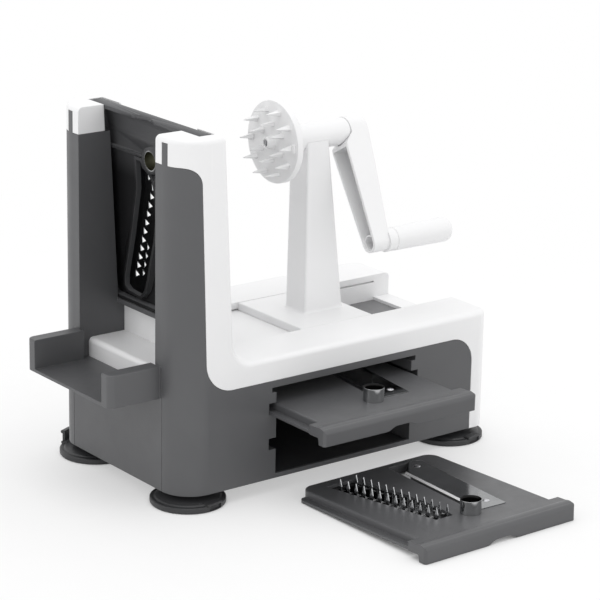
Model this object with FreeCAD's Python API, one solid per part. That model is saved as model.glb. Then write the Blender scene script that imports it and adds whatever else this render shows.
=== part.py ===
"""Hand-cranked spiralizer: housing on suction feet, sliding crank carriage, three blade plates.

Body axes: X runs from the tower end (0) to the crank end, Y from the front face (0) to the rear,
Z is up with the table at 0. Every piece is moved at export so that the origin is the middle of the
footprint of the whole set on the table.
"""
import FreeCAD, Part
import math
import os
from FreeCAD import Vector as V

os.makedirs("parts", exist_ok=True)

# ------------------------------------------------------------------ driving sizes, millimetres
# housing
body_length = 300.0
body_width = 172.0
foot_height = 11.2
deck_height = 108.2
sill_z = 128.61                 # top of the bar that carries the tower plate
housing_wall = 2.6
tower_corner_radius = 25.0
end_corner_radius = 12.0
edge_radius = 4.0
tower_face_top = 39.2           # X of the tower's carriage-side face at its top
tower_lean = 3.0                # degrees; that face and the plate slot lean together
deck_fillet_radius = 17.0
column_width = 34.4             # thickness of each tower column along Y
chute_floor = 83.8              # underside of the catch tray
seat_gap = 0.2                  # clearance between pieces that drop into each other

# colour split between the lower and the upper moulding, in the side view
split_deck_drop = 18.4          # the white band's lower edge, down from the deck
split_leg_width = 18.0
split_leg_radius = 21.0
split_tower_radius = 24.0
split_tower_low_x = 23.6
split_tower_high_x = 18.4
split_cap_drop = 20.5           # the caps' lower edge, down from the tower's top
split_cap_radius = 13.0
cap_tongue_start = 20.1         # distance of the grey tongue from the outer side face
cap_tongue_width = 6.1
cap_tongue_drop = 4.2           # the tongue's end, down from the tower's top
parting_groove = 0.3            # between the two mouldings
panel_gap = 0.5                 # round the end panel

# deck
rail_width = 43.5
channel_depth = 6.5
channel_floor = 2.4
pocket_length = 68.0
pocket_end_bar = 16.0           # from the pocket to the end face
end_bar_drop = 19.0             # down from the deck
pocket_drop = 22.2
pocket_ledge = 2.0              # white ledge round the grey pocket floor
runner_slot_height = 1.4
runner_slot_depth = 2.6

# storage bay in the front face
bay_left = 87.0
bay_clearance = 0.5             # between a stored plate's body and the bay, each side
bay_bottom = 14.7
bay_roof_drop = 24.0            # down from the deck
bay_rear_space = 26.0           # from the bay's back wall to the rear face
groove_depth = 6.7
groove_height = 9.2
upper_groove_z = 62.8
lower_groove_z = 34.8
bay_notch_height = 4.0
bay_notch_depth = 4.0
bay_rail_thickness = 10.0

# catch tray
tray_reach = 44.0
tray_wall_height = 25.3
tray_wall_thickness = 11.0
tray_floor_thickness = 2.2
tray_corner_radius = 5.0
tray_outer_y = 28.5
panel_edge_y = 25.3

# discharge step
step_front_x = 8.0
step_z = 101.2
step_riser_x = 41.0
sill_end_x = 47.0
sill_bar_width = 12.6
sill_bar_drop = 3.6             # height of the grey bar between the sill and the plate
step_wall = 2.4

# blade plates
plate_width = 131.0
plate_length = 154.5
plate_thickness = 8.0
plate_skin = 2.4
plate_rim = 2.6
plate_corner_radius = 10.0
flange_lip = 6.0                # the side lips stand this far out
flange_bottom = 0.0
flange_thickness = 2.1
handle_overhang = 8.1           # the handle's ends, beyond the plate's sides
handle_depth = 12.5
handle_drop = 4.6               # the handle hangs this far below the plate's underside
handle_lip = 7.0                # depth of the handle's lower front edge
finger_recess = 3.2
finger_recess_width = 33.0
handle_back = 6.5               # the bar's top runs this far behind the handle
handle_crown = 0.7              # the bar stands this much above the plate
slide_play = 0.3
ring_from_handle = 34.5
ring_radius = 8.0
ring_wall = 0.8
ring_height = 10.8
blade_thickness = 0.9
plate_slot_back = 27.7          # X of the stored plate's underside at the tower's top
upper_plate_out = 56.6          # how far the upper stored plate is drawn out
loose_plate_x = 162.8
loose_plate_front = -174.4
loose_plate_turn = 0.8          # degrees about the upright

# carriage
carriage_left = 144.0
carriage_length = 70.0
carriage_play = 0.3
post_left = 169.0
post_base_length = 38.0
post_base_width = 26.0
post_top_length = 22.0
post_top_width = 23.0
carriage_wall = 2.4
hub_radius = 10.8
axis_height = 248.7
hub_start = 150.6
hub_end = 212.8
shaft_radius = 4.0
shaft_flat_length = 16.0
shaft_end_cover = 6.0           # plastic left over the shaft's end
bush_wall = 2.5
bush_length = 11.0
running_gap = 0.06
end_gap = 0.3

# spiked disc
disc_face_x = 144.0
disc_radius = 32.6
disc_plate = 2.6
disc_rim_length = 5.6
disc_rim_wall = 2.4
disc_boss_radius = 5.4
disc_boss_length = 7.0
disc_screw_head = 2.6           # radius
spike_length = 12.5
spike_width = 4.6               # across the foot, along its circle
spike_depth = 3.4               # across the foot, outwards
spike_tip = 0.5
outer_spikes = 10
outer_spike_circle = 25.5
inner_spikes = 6
inner_spike_circle = 14.5

# crank
crank_radius = 92.3
crank_angle = 29.9              # degrees from straight down, towards the front
crank_head_radius = 11.4
crank_head_end = 231.0
arm_left = 205.0
arm_right_top = 230.6
arm_right_low = 221.5
arm_half_top = 9.0
arm_half_low = 7.9
arm_top_drop = 6.0              # the bar's upper end, down from the shaft
arm_hub_gap = 0.5
arm_wall = 2.3
pin_boss_radius = 6.4
pin_boss_height = 3.4
collar_end = 228.0
collar_radius = 9.3
grip_start_radius = 9.4
grip_end_radius = 10.0
grip_end = 286.0
pin_radius = 3.0
pin_head = 2.4
pin_reach = 272.0

# feet
foot_radius = 28.9
foot_inset_x = 22.0
foot_inset_y = 22.7
foot_rim = 4.4
foot_tab_width = 15.0
pull_tab_top = 14.2
foot_stud_radius = 4.0
base_plate_thickness = 2.6

# fasteners
screw_front = 64.0
screw_inset = 38.0
boss_web = 2.4                  # web that ties a screw tower to its wall
screw_radius = 1.6
screw_head_radius = 3.2
boss_radius = 4.6

# ------------------------------------------------------------------ derived places
mid_y = body_width / 2
lean = math.radians(tower_lean)
tower_height = sill_z + (plate_length + slide_play) * math.cos(lean)
split_cap_z = tower_height - split_cap_drop
split_deck_z = deck_height - split_deck_drop
split_leg_x = body_length - split_leg_width
end_bar_z = deck_height - end_bar_drop
pocket_floor_z = deck_height - pocket_drop
pocket_end_x = body_length - pocket_end_bar
pocket_start_x = pocket_end_x - pocket_length
bay_top = deck_height - bay_roof_drop
cap_tongue_top = tower_height - cap_tongue_drop
bay_depth = body_width - bay_rear_space
bay_width = plate_width + 2 * bay_clearance
flange_width = plate_width + 2 * flange_lip
handle_width = plate_width + 2 * handle_overhang
column_inner = column_width
column_inner_far = body_width - column_width
channel_y0 = rail_width
channel_y1 = body_width - rail_width
channel_z = deck_height - channel_depth
bay_right = bay_left + bay_width
bay_mid = bay_left + bay_width / 2
base_plate_top = foot_height + 0.4 + base_plate_thickness
crank_dir = V(0, -math.sin(math.radians(crank_angle)), -math.cos(math.radians(crank_angle)))
grip_y = mid_y + crank_radius * crank_dir.y
grip_z = axis_height + crank_radius * crank_dir.z
REACH = 1000.0


# ------------------------------------------------------------------ small helpers
def box(x0, x1, y0, y1, z0, z1):
    return Part.makeBox(x1 - x0, y1 - y0, z1 - z0, V(x0, y0, z0))


def rod_x(x0, x1, y, z, radius):
    return Part.makeCylinder(radius, x1 - x0, V(x0, y, z), V(1, 0, 0))


def rod_z(x, y, z0, z1, radius):
    return Part.makeCylinder(radius, z1 - z0, V(x, y, z0), V(0, 0, 1))


def line(a, b):
    return Part.LineSegment(a, b).toShape()


def arc(a, middle, b):
    return Part.Arc(a, middle, b).toShape()


def prism(edges, direction):
    """Extrude the face inside a closed run of edges."""
    return Part.Face(Part.Wire(edges)).extrude(direction)


def polygon_prism(points, direction):
    return Part.Face(Part.makePolygon(points + [points[0]])).extrude(direction)


def rounded_plan(x0, x1, y0, y1, left_radius, right_radius, z0, z1):
    """Upright prism on a rectangle whose left and right corners have their own radii."""
    a = left_radius
    b = right_radius
    k = 1 - math.sqrt(0.5)
    edges = [
        line(V(x0 + a, y0, z0), V(x1 - b, y0, z0)),
        arc(V(x1 - b, y0, z0), V(x1 - k * b, y0 + k * b, z0), V(x1, y0 + b, z0)),
        line(V(x1, y0 + b, z0), V(x1, y1 - b, z0)),
        arc(V(x1, y1 - b, z0), V(x1 - k * b, y1 - k * b, z0), V(x1 - b, y1, z0)),
        line(V(x1 - b, y1, z0), V(x0 + a, y1, z0)),
        arc(V(x0 + a, y1, z0), V(x0 + k * a, y1 - k * a, z0), V(x0, y1 - a, z0)),
        line(V(x0, y1 - a, z0), V(x0, y0 + a, z0)),
        arc(V(x0, y0 + a, z0), V(x0 + k * a, y0 + k * a, z0), V(x0 + a, y0, z0)),
    ]
    return prism(edges, V(0, 0, z1 - z0))


def fillet_edges(shape, radius, wanted):
    edges = [e for e in shape.Edges if wanted(e)]
    return shape.makeFillet(radius, edges) if edges else shape


def middle(edge):
    return edge.valueAt((edge.FirstParameter + edge.LastParameter) / 2)


def is_line(edge):
    return edge.Curve.TypeId == "Part::GeomLine"


def runs_along(edge, axis):
    return is_line(edge) and abs(abs(edge.Curve.Direction.dot(axis)) - 1) < 1e-6


def mirror_rear(shape):
    """Mirror a piece from the front half to the rear half of the body."""
    return shape.mirror(V(0, mid_y, 0), V(0, 1, 0))


def tower_face_x(z):
    """X of the tower's leaning face at a height."""
    return tower_face_top + (tower_height - z) * math.tan(lean)


# ------------------------------------------------------------------ outer form of the housing
def side_outline(inset, z_bottom):
    """Closed side view of the body, moved inwards by inset, at Y = inset."""
    x0 = inset
    x1 = body_length - inset
    z_deck = deck_height - inset
    z_top = tower_height - inset
    radius = deck_fillet_radius + inset
    along = V(math.sin(lean), 0, -math.cos(lean))
    outward = V(math.cos(lean), 0, math.sin(lean))
    on_face = V(tower_face_top, 0, tower_height) - outward * inset
    centre_z = z_deck + radius
    centre_x = on_face.x + (radius - (centre_z - on_face.z) * outward.z) / outward.x
    centre = V(centre_x, 0, centre_z)
    face_end = centre - outward * radius
    deck_start = V(centre_x, 0, z_deck)
    bisector = (V(0, 0, -1) - outward).normalize()
    top = on_face + along * ((on_face.z - z_top) / math.cos(lean))
    corners = [V(x0, 0, z_bottom), V(x1, 0, z_bottom), V(x1, 0, z_deck), deck_start]
    edges = [line(corners[i], corners[i + 1]) for i in range(3)]
    edges.append(arc(deck_start, centre + bisector * radius, face_end))
    edges.append(line(face_end, top))
    edges.append(line(top, V(x0, 0, z_top)))
    edges.append(line(V(x0, 0, z_top), V(x0, 0, z_bottom)))
    for edge in edges:
        edge.translate(V(0, inset, 0))
    return edges


def body_form(inset, z_bottom):
    """The body's outer form without its window, moved inwards by inset."""
    form = prism(side_outline(inset, z_bottom), V(0, body_width - 2 * inset, 0))
    plan = rounded_plan(inset, body_length - inset, inset, body_width - inset,
                        tower_corner_radius - inset, max(end_corner_radius - inset, 1.0),
                        z_bottom - 1, tower_height + 1)
    return form.common(plan)


def outer_form():
    """Outer form with softened top, tower and deck edges, cut by the tower window."""
    form = body_form(0.0, foot_height)
    hollow_start = tower_face_x(deck_height + deck_fillet_radius) - 1

    def outline_edge(edge):
        point = middle(edge)
        if point.z < foot_height + 1 or runs_along(edge, V(0, 0, 1)):
            return False
        inner_joint = hollow_start < point.x < body_length - 1 and abs(point.y - mid_y) < 1
        return not inner_joint

    form = fillet_edges(form, edge_radius, outline_edge)
    return form.cut(window(0.0, chute_floor, tower_height + 1))


def window(inset, z0, z1):
    """The gap between the tower columns."""
    reach = tower_face_x(deck_height) + deck_fillet_radius + 5
    return box(-1, reach, column_inner - inset, column_inner_far + inset, z0, z1)


def core_form():
    """What the white skin wraps: the columns' cores reach out to the window below the caps."""
    core = body_form(housing_wall, foot_height - 5)
    core = core.cut(window(0.0, chute_floor, tower_height + 1))
    return core.cut(window(housing_wall, split_cap_z, tower_height + 1))


def white_region():
    """Side view of the upper moulding: caps, band, deck edge and end leg."""
    y0 = -20.0
    k = math.sqrt(0.5)
    far = body_length + 20
    slope = (split_tower_low_x - split_tower_high_x) / (split_cap_z - split_deck_z)
    cap_x = split_tower_high_x - split_cap_radius
    cap_arc_z = split_cap_z - split_cap_radius
    low_z = split_deck_z + split_tower_radius
    low_x = split_tower_high_x + slope * (cap_arc_z - low_z)
    leg_z = split_deck_z - split_leg_radius
    leg_x = split_leg_x - split_leg_radius
    points = {
        "a": V(-20, y0, tower_height + 20), "b": V(-20, y0, split_cap_z),
        "c": V(cap_x, y0, split_cap_z),
        "cd": V(cap_x + k * split_cap_radius, y0, cap_arc_z + k * split_cap_radius),
        "d": V(split_tower_high_x, y0, cap_arc_z),
        "e": V(low_x, y0, low_z),
        "ef": V(low_x + (1 - k) * split_tower_radius, y0, low_z - k * split_tower_radius),
        "f": V(low_x + split_tower_radius, y0, split_deck_z),
        "g": V(leg_x, y0, split_deck_z),
        "gh": V(leg_x + k * split_leg_radius, y0, leg_z + k * split_leg_radius),
        "h": V(split_leg_x, y0, leg_z),
        "i": V(split_leg_x, y0, 0), "j": V(far, y0, 0), "k": V(far, y0, tower_height + 20),
    }
    p = points
    edges = [line(p["a"], p["b"]), line(p["b"], p["c"]), arc(p["c"], p["cd"], p["d"]),
             line(p["d"], p["e"]), arc(p["e"], p["ef"], p["f"]), line(p["f"], p["g"]),
             arc(p["g"], p["gh"], p["h"]), line(p["h"], p["i"]), line(p["i"], p["j"]),
             line(p["j"], p["k"]), line(p["k"], p["a"])]
    return prism(edges, V(0, body_width + 40, 0))


def cap_tongues(play):
    """Grey tongues of the lower moulding that rise into the caps on the tower's end face."""
    y0 = cap_tongue_start - play
    y1 = cap_tongue_start + cap_tongue_width + play
    front = box(-1, housing_wall, y0, y1, split_cap_z - 2, cap_tongue_top + play)
    return front.fuse(mirror_rear(front))


# ------------------------------------------------------------------ plate slot in the tower
def tower_place(shape):
    """Move a plate from its own axes into the tower slot.

    In its own axes u is X, v is Y from the handle's front face and t is Z from the underside.
    In the tower the handle is on top and the plate's upper side faces the carriage.
    """
    placed = shape.copy()
    upright = FreeCAD.Matrix(0, 0, 1, 0,
                             -1, 0, 0, 0,
                             0, -1, 0, 0,
                             0, 0, 0, 1)
    placed.Placement = FreeCAD.Placement(upright).multiply(placed.Placement)
    placed.rotate(V(0, 0, 0), V(0, 1, 0), -tower_lean)
    placed.translate(V(plate_slot_back, mid_y, tower_height))
    return placed


def slot_cutter():
    """The space the tower keeps for a plate, open at the top."""
    play = slide_play
    wide = flange_width / 2 + play
    body = box(-wide, wide, 0, plate_length + play, -play, plate_thickness + play)
    half = handle_width / 2 + play
    front = box(-half, half, -20, handle_depth + play, -handle_drop - play,
                plate_thickness + handle_crown + play)
    relief = box(-half, half, 0, split_cap_drop + parting_groove, -handle_drop - play, 0)
    bar = box(-half, half, 0, handle_depth + handle_back + play, -play,
              plate_thickness + handle_crown + play)
    return tower_place(body.fuse([front, bar, relief]))


# ------------------------------------------------------------------ housing mouldings
def screw_places():
    """Screw towers beside the long walls, as (x, y)."""
    near = housing_wall + boss_radius + seat_gap
    far = body_width - near
    return [(x, y) for x in (screw_front, body_length - screw_inset) for y in (near, far)]


def make_upper_housing(outer, core, region):
    shell = outer.common(region).cut(core)
    # closed channel between the rails, its pocket and the end bar
    wall = channel_floor
    left = sill_end_x + seat_gap
    tub = box(left, pocket_end_x + wall, channel_y0 - wall - runner_slot_depth,
              channel_y1 + wall + runner_slot_depth, channel_z - wall, deck_height - 1)
    deep = box(pocket_start_x - wall, body_length - housing_wall, channel_y0 - wall,
               channel_y1 + wall, pocket_floor_z - 1.6, deck_height - 1)
    shell = shell.fuse([tub, deep])
    shell = shell.cut(box(0, body_length + 1, channel_y0, channel_y1, channel_z, REACH))
    shell = shell.cut(box(pocket_start_x, body_length + 1, channel_y0, channel_y1,
                          end_bar_z, REACH))
    shell = shell.cut(box(pocket_start_x, pocket_end_x, channel_y0, channel_y1,
                          pocket_floor_z, REACH))
    shell = shell.cut(box(left - 1, pocket_end_x, channel_y0 - runner_slot_depth,
                          channel_y1 + runner_slot_depth, channel_z,
                          channel_z + runner_slot_height))
    # the pocket is open onto the shelf of the lower moulding
    ledge = pocket_ledge
    shell = shell.cut(box(bay_right + bay_rail_thickness - 3, pocket_end_x - ledge,
                          channel_y0 + ledge, channel_y1 - ledge, pocket_floor_z - 5, REACH))
    for x, y in screw_places():
        shell = shell.fuse(rod_z(x, y, split_deck_z + 6, deck_height - 1, boss_radius))
        shell = shell.cut(rod_z(x, y, split_deck_z + 5, deck_height - 4, screw_radius))
    shell = shell.cut(slot_cutter())
    shell = shell.cut(cap_tongues(parting_groove))
    return shell.removeSplitter()


def bay_section(y0, y1):
    """Front opening of the storage bay with its two plate grooves and top notches."""
    cut = box(bay_left, bay_right, y0, y1, bay_bottom, bay_top)
    for z in (lower_groove_z, upper_groove_z):
        cut = cut.fuse(box(bay_left - groove_depth, bay_right + groove_depth, y0, y1,
                           z, z + groove_height))
    notch = box(bay_left - bay_notch_depth, bay_right + bay_notch_depth, y0, y1,
                bay_top - bay_notch_height, bay_top)
    return cut.fuse(notch)


def make_lower_housing(outer, core, region):
    grooved = region.copy()
    grooved.translate(V(-parting_groove, 0, -parting_groove))
    skin = outer.cut(core).cut(grooved)
    columns = core.common(box(-1, tower_face_x(chute_floor) + 2, 0, body_width,
                              chute_floor - 8, tower_height))
    columns = columns.cut(box(-1, REACH, column_inner, column_inner_far, 0, REACH))
    tongues = cap_tongues(0.0).common(outer)
    housing = skin.fuse([columns, tongues])
    # hollow each column from below
    pocket = body_form(2 * housing_wall, 0).common(
        box(0, plate_slot_back - handle_drop - 2, 0, column_inner - housing_wall,
            0, split_cap_z - 6))
    housing = housing.cut(pocket).cut(mirror_rear(pocket))
    # storage bay: grooved rails from the front wall to the rear wall, and a back wall
    rail_z1 = pocket_floor_z - 1.8
    rail_y1 = body_width - housing_wall + 0.5
    for x0, x1 in ((bay_left - bay_rail_thickness, bay_left),
                   (bay_right, bay_right + bay_rail_thickness)):
        housing = housing.fuse(box(x0, x1, housing_wall - 0.5, rail_y1, base_plate_top, rail_z1))
    housing = housing.fuse(box(bay_left - 5, bay_right + 5, bay_depth - housing_wall, bay_depth,
                               base_plate_top, rail_z1))
    housing = housing.cut(bay_section(-1, bay_depth - housing_wall))
    # the rails are cored behind the bay
    for x0 in (bay_left - bay_rail_thickness, bay_right):
        housing = housing.cut(box(x0 + 3.6, x0 + bay_rail_thickness - 3.6, bay_depth + 4,
                                  rail_y1 - 6, base_plate_top - 1, rail_z1 - 4))
    # ribbed shelf under the deck pocket, carried by the bay's right rail
    shelf_x = bay_right + bay_rail_thickness - 4
    shelf = box(shelf_x, pocket_end_x, channel_y0 - 1, channel_y1 + 1, rail_z1 - housing_wall,
                rail_z1)
    for y in (channel_y0 + 6, mid_y - 1, channel_y1 - 8):
        shelf = shelf.fuse(box(shelf_x, pocket_end_x - 4, y, y + 2, rail_z1 - 10, rail_z1 - 1))
    housing = housing.fuse(shelf)
    # bar between the columns that carries the plate's lower edge
    bar_top = sill_z
    bar = box(sill_end_x - sill_bar_width, sill_end_x - seat_gap, column_inner - 1,
              column_inner_far + 1, bar_top - sill_bar_drop, bar_top)
    housing = housing.fuse(bar.cut(outer.common(region).cut(core)))
    # opening for the end panel
    housing = housing.cut(box(-1, housing_wall + 0.1, panel_edge_y, body_width - panel_edge_y,
                              0, chute_floor + tray_wall_height))
    # screw towers, bored from below
    for x, y in screw_places():
        housing = housing.fuse(rod_z(x, y, base_plate_top, split_deck_z + 5.8, boss_radius))
        wall_y = housing_wall - 0.5 if y < mid_y else y
        web_reach = abs((y if y < mid_y else body_width - y) - housing_wall + 0.5)
        housing = housing.fuse(box(x - boss_web / 2, x + boss_web / 2, wall_y,
                                   wall_y + web_reach, base_plate_top, split_deck_z - boss_web))
        housing = housing.cut(rod_z(x, y, base_plate_top - 1, split_deck_z + 7, screw_radius))
    housing = housing.cut(slot_cutter())
    return housing.removeSplitter()


def make_base_plate():
    gap = seat_gap
    inset = housing_wall + gap
    plate = rounded_plan(inset, body_length - inset, inset, body_width - inset,
                         tower_corner_radius - inset, end_corner_radius - inset,
                         foot_height + 0.4, base_plate_top)
    for x, y in foot_places():
        plate = plate.cut(rod_z(x, y, 0, 40, foot_stud_radius + gap))
    for x, y in screw_places():
        plate = plate.cut(rod_z(x, y, 0, 40, screw_radius + gap))
    return plate


def make_end_tray():
    """End panel and catch tray, one moulding."""
    top = chute_floor + tray_wall_height
    edge = panel_edge_y + panel_gap
    panel = box(0, housing_wall, edge, body_width - edge, foot_height, chute_floor + 1)
    cheek = box(0, housing_wall, edge, column_inner, chute_floor, top)
    blank = rounded_plan(-tray_reach, 0.5, tray_outer_y, body_width - tray_outer_y,
                         tray_corner_radius, 0.2, chute_floor, top)
    blank = fillet_edges(blank, 1.2, lambda e: abs(middle(e).z - top) < 1e-3
                         and middle(e).x < -1)
    inner_y = tray_outer_y + tray_wall_thickness
    inner = box(-tray_reach - 1, 1, inner_y, body_width - inner_y,
                chute_floor + tray_floor_thickness, top + 1)
    tray = blank.cut(inner)
    # the side walls are cored from below
    core_y = tray_outer_y + 2.0
    core = box(-tray_reach + tray_corner_radius, -3, core_y, inner_y - 2.0,
               chute_floor - 1, top - 2.2)
    tray = tray.cut(core).cut(mirror_rear(core))
    # the floor runs inwards under the discharge step
    tongue = box(0, step_front_x + 6, column_inner + seat_gap, column_inner_far - seat_gap,
                 chute_floor, chute_floor + tray_floor_thickness)
    piece = panel.fuse([cheek, mirror_rear(cheek), tray, tongue])
    return piece.removeSplitter()


def make_discharge_step():
    """White step between the columns that carries the plate's lower edge."""
    y0 = column_inner + seat_gap
    floor = chute_floor + tray_floor_thickness
    bar_top = sill_z
    sill_top = bar_top - sill_bar_drop - seat_gap

    def outline(inset):
        z_low = floor - (10 if inset else 0)
        return [V(step_front_x + inset, y0, z_low), V(step_front_x + inset, y0, step_z - inset),
                V(step_riser_x + inset, y0, step_z - inset),
                V(step_riser_x + inset, y0, sill_top - inset),
                V(sill_end_x - inset, y0, sill_top - inset), V(sill_end_x - inset, y0, z_low)]

    width = body_width - 2 * y0
    solid = polygon_prism(outline(0.0), V(0, width, 0))
    round_over = [V(step_front_x, 0, step_z)]
    solid = fillet_edges(solid, 4.0, lambda e: runs_along(e, V(0, 1, 0)) and any(
        abs(middle(e).x - c.x) < 0.1 and abs(middle(e).z - c.z) < 0.1 for c in round_over))
    hollow = polygon_prism(outline(step_wall), V(0, width - 2 * step_wall, 0))
    hollow.translate(V(0, step_wall, 0))
    return solid.cut(hollow)


# ------------------------------------------------------------------ feet
def foot_places():
    xs = (foot_inset_x, body_length - foot_inset_x)
    ys = (foot_inset_y, body_width - foot_inset_y)
    return [(x, y) for x in xs for y in ys]


def make_foot(x, y, raised_tab):
    """Rubber suction cup with a stepped rim, a domed top and a release tab."""
    top = foot_height - 1.2
    r = foot_radius
    profile = [V(4.2, 0, 3.6), V(12, 0, 3.1), V(22, 0, 1.5), V(r - 3.5, 0, 0.3), V(r - 2.5, 0, 0),
               V(r - 0.6, 0, 0), V(r, 0, 0.8), V(r, 0, foot_rim - 0.6), V(r - 0.8, 0, foot_rim),
               V(r - 3.2, 0, foot_rim), V(r - 4.4, 0, foot_rim + 0.9), V(16.0, 0, 7.6),
               V(11.5, 0, 8.8), V(11.5, 0, top), V(4.2, 0, top)]
    cup = Part.Face(Part.makePolygon(profile + [profile[0]])).revolve(V(0, 0, 0), V(0, 0, 1), 360)
    side = 1 if y > mid_y else -1
    end = 1 if x > body_length / 2 else -1
    half = foot_tab_width / 2
    tab = box(-half, half, r - 6, r - 0.2, foot_rim - 0.4, foot_rim + 1.6)
    tab = fillet_edges(tab, 0.9, lambda e: abs(middle(e).y - r + 0.2) < 1e-3)
    notch = box(-half + 1.5, half - 1.5, r - 1.8, r + 2, 0.6, foot_rim - 0.4)
    if raised_tab:
        tongue = box(-half + 2.5, half - 2.5, r - 2.6, r - 0.2, foot_rim, pull_tab_top)
        hook = box(-half + 2.5, half - 2.5, r - 1.2, r + 1.4, pull_tab_top - 2.6, pull_tab_top)
        hook = fillet_edges(hook, 1.1, lambda e: runs_along(e, V(1, 0, 0)))
        tab = tab.fuse([tongue, hook])
    turn = 0 if side > 0 else 180
    turn += -24 * end * side if raised_tab else 12
    tab.rotate(V(0, 0, 0), V(0, 0, 1), turn)
    notch.rotate(V(0, 0, 0), V(0, 0, 1), turn)
    cup = cup.cut(notch).fuse(tab).removeSplitter()
    cup.translate(V(x, y, 0))
    return cup


def make_foot_studs():
    """Hard studs that hold the cups to the base plate."""
    studs = []
    for x, y in foot_places():
        stud = rod_z(x, y, 4.0, base_plate_top + 5, foot_stud_radius)
        collar = rod_z(x, y, foot_height - 1.2, foot_height + 0.4, 9.0)
        nut = rod_z(x, y, base_plate_top, base_plate_top + 3.0, 8.0)
        studs.append(stud.fuse([collar, nut]).removeSplitter())
    return Part.makeCompound(studs)


def make_base_screws():
    """Long screws from below that clamp the base plate, the lower and the upper housing."""
    screws = []
    for x, y in screw_places():
        head = rod_z(x, y, foot_height - 1.2, foot_height + 0.4, screw_head_radius)
        shank = rod_z(x, y, foot_height + 0.4, deck_height - 5, screw_radius)
        socket = rod_z(x, y, foot_height - 1.3, foot_height - 0.4, 1.2)
        screws.append(head.fuse(shank).cut(socket))
    return Part.makeCompound(screws)


# ------------------------------------------------------------------ blade plates
def finger_wave():
    """Long shallow recess under the handle's lower edge, steep at one side."""
    low = -handle_drop - 2
    deep = -handle_drop + finger_recess
    span = finger_recess_width
    points = [V(-0.45 * span, -1, -handle_drop), V(-0.36 * span, -1, -handle_drop + 0.5),
              V(-0.22 * span, -1, deep - 0.6), V(0.0, -1, deep), V(0.25 * span, -1, deep - 0.3),
              V(0.42 * span, -1, -handle_drop + 0.8), V(0.55 * span, -1, -handle_drop)]
    curve = Part.BSplineCurve()
    curve.interpolate(points)
    last = points[-1]
    edges = [curve.toShape(), line(last, V(last.x, -1, low)),
             line(V(last.x, -1, low), V(points[0].x, -1, low)),
             line(V(points[0].x, -1, low), points[0])]
    return prism(edges, V(0, handle_depth + 3, 0))


def quad(points, t0, t1):
    """Upright prism on a polygon given as (u, v) points."""
    return polygon_prism([V(u, v, t0) for u, v in points], V(0, 0, t1 - t0))


def grown(points, distance):
    """The polygon of (u, v) points moved outwards by a distance."""
    wire = Part.makePolygon([V(u, v, 0) for u, v in points + [points[0]]])
    wide = wire.makeOffset2D(distance, 2)
    return [(p.Point.x, p.Point.y) for p in wide.OrderedVertexes]


def handle_bar():
    """Handle with a crowned top and a lip along its lower front edge."""
    half = handle_width / 2
    top = plate_thickness
    low = -handle_drop
    v1 = handle_depth + handle_back
    k = math.sqrt(0.5)
    r = 3.6
    crown = top + handle_crown
    edges = [
        line(V(-half, 0, low), V(-half, 0, crown - r - 0.6)),
        arc(V(-half, 0, crown - r - 0.6), V(-half, r * (1 - k), crown - 0.6 - r * (1 - k)),
            V(-half, r, crown - 0.6)),
        arc(V(-half, r, crown - 0.6), V(-half, 6.5, crown), V(-half, 10.5, crown - 0.5)),
        line(V(-half, 10.5, crown - 0.5), V(-half, v1, top)),
        line(V(-half, v1, top), V(-half, v1, 0.6)),
        line(V(-half, v1, 0.6), V(-half, handle_lip + 1, 0.6)),
        line(V(-half, handle_lip + 1, 0.6), V(-half, handle_lip, low)),
        line(V(-half, handle_lip, low), V(-half, 0, low)),
    ]
    bar = prism(edges, V(2 * half, 0, 0))
    plan = box(-half, half, 0, v1, low - 1, crown + 1)
    plan = fillet_edges(plan, 2.4, lambda e: runs_along(e, V(0, 0, 1)) and middle(e).y < 1)
    bar = bar.common(plan)
    bar = bar.cut(finger_wave())
    return bar


def grip_scoop():
    """Smooth hollow under the handle, from its front lip to the plate's cross rib."""
    half = plate_width / 2 - plate_rim
    end = ring_from_handle - 1.8
    low = -handle_drop - 1
    roof = plate_thickness - plate_skin
    profile = [V(-half, 3.0, low), V(-half, 3.0, 0.6), V(-half, 6.5, 3.2), V(-half, 12.0, 4.8),
               V(-half, 19.0, roof), V(-half, end, roof), V(-half, end, low)]
    return polygon_prism(profile, V(2 * half, 0, 0))


def plate_blank():
    """Shelled plate with a lip along its sides and a handle bar, before its own cut-outs."""
    half = plate_width / 2
    back = handle_depth + 1.0
    slab = box(-half, half, back, plate_length, 0, plate_thickness)
    slab = fillet_edges(slab, plate_corner_radius, lambda e: runs_along(e, V(0, 0, 1))
                        and middle(e).y > plate_length - 1)
    slab = fillet_edges(slab, 1.4, lambda e: abs(middle(e).z - plate_thickness) < 1e-3
                        and middle(e).y > back + 1)
    inner = box(-half + plate_rim, half - plate_rim, handle_depth + 5.0,
                plate_length - plate_rim, -1, plate_thickness - plate_skin)
    inner = fillet_edges(inner, plate_corner_radius - plate_rim,
                         lambda e: runs_along(e, V(0, 0, 1)) and middle(e).y > plate_length / 2)
    flange = box(-flange_width / 2, flange_width / 2, handle_depth + 8.5, plate_length - 6,
                 flange_bottom, flange_bottom + flange_thickness)
    flange = fillet_edges(flange, 5.0, lambda e: runs_along(e, V(0, 0, 1))
                          and middle(e).y > plate_length / 2)
    blank = slab.fuse(flange).cut(inner).fuse(handle_bar())
    return blank.cut(grip_scoop()).removeSplitter()


def ring_boss(blank):
    """Coring tube seat and the cross rib beside it."""
    half = plate_width / 2 - 1
    rib = box(-half, half, ring_from_handle - 1.8, ring_from_handle - 0.2, 1.0,
              plate_thickness - 1)
    boss = rod_z(0, ring_from_handle, 0, plate_thickness, ring_radius + 2.4)
    bore = rod_z(0, ring_from_handle, -1, plate_thickness + 1, ring_radius)
    return blank.fuse([rib, boss]).cut(bore)


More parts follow.
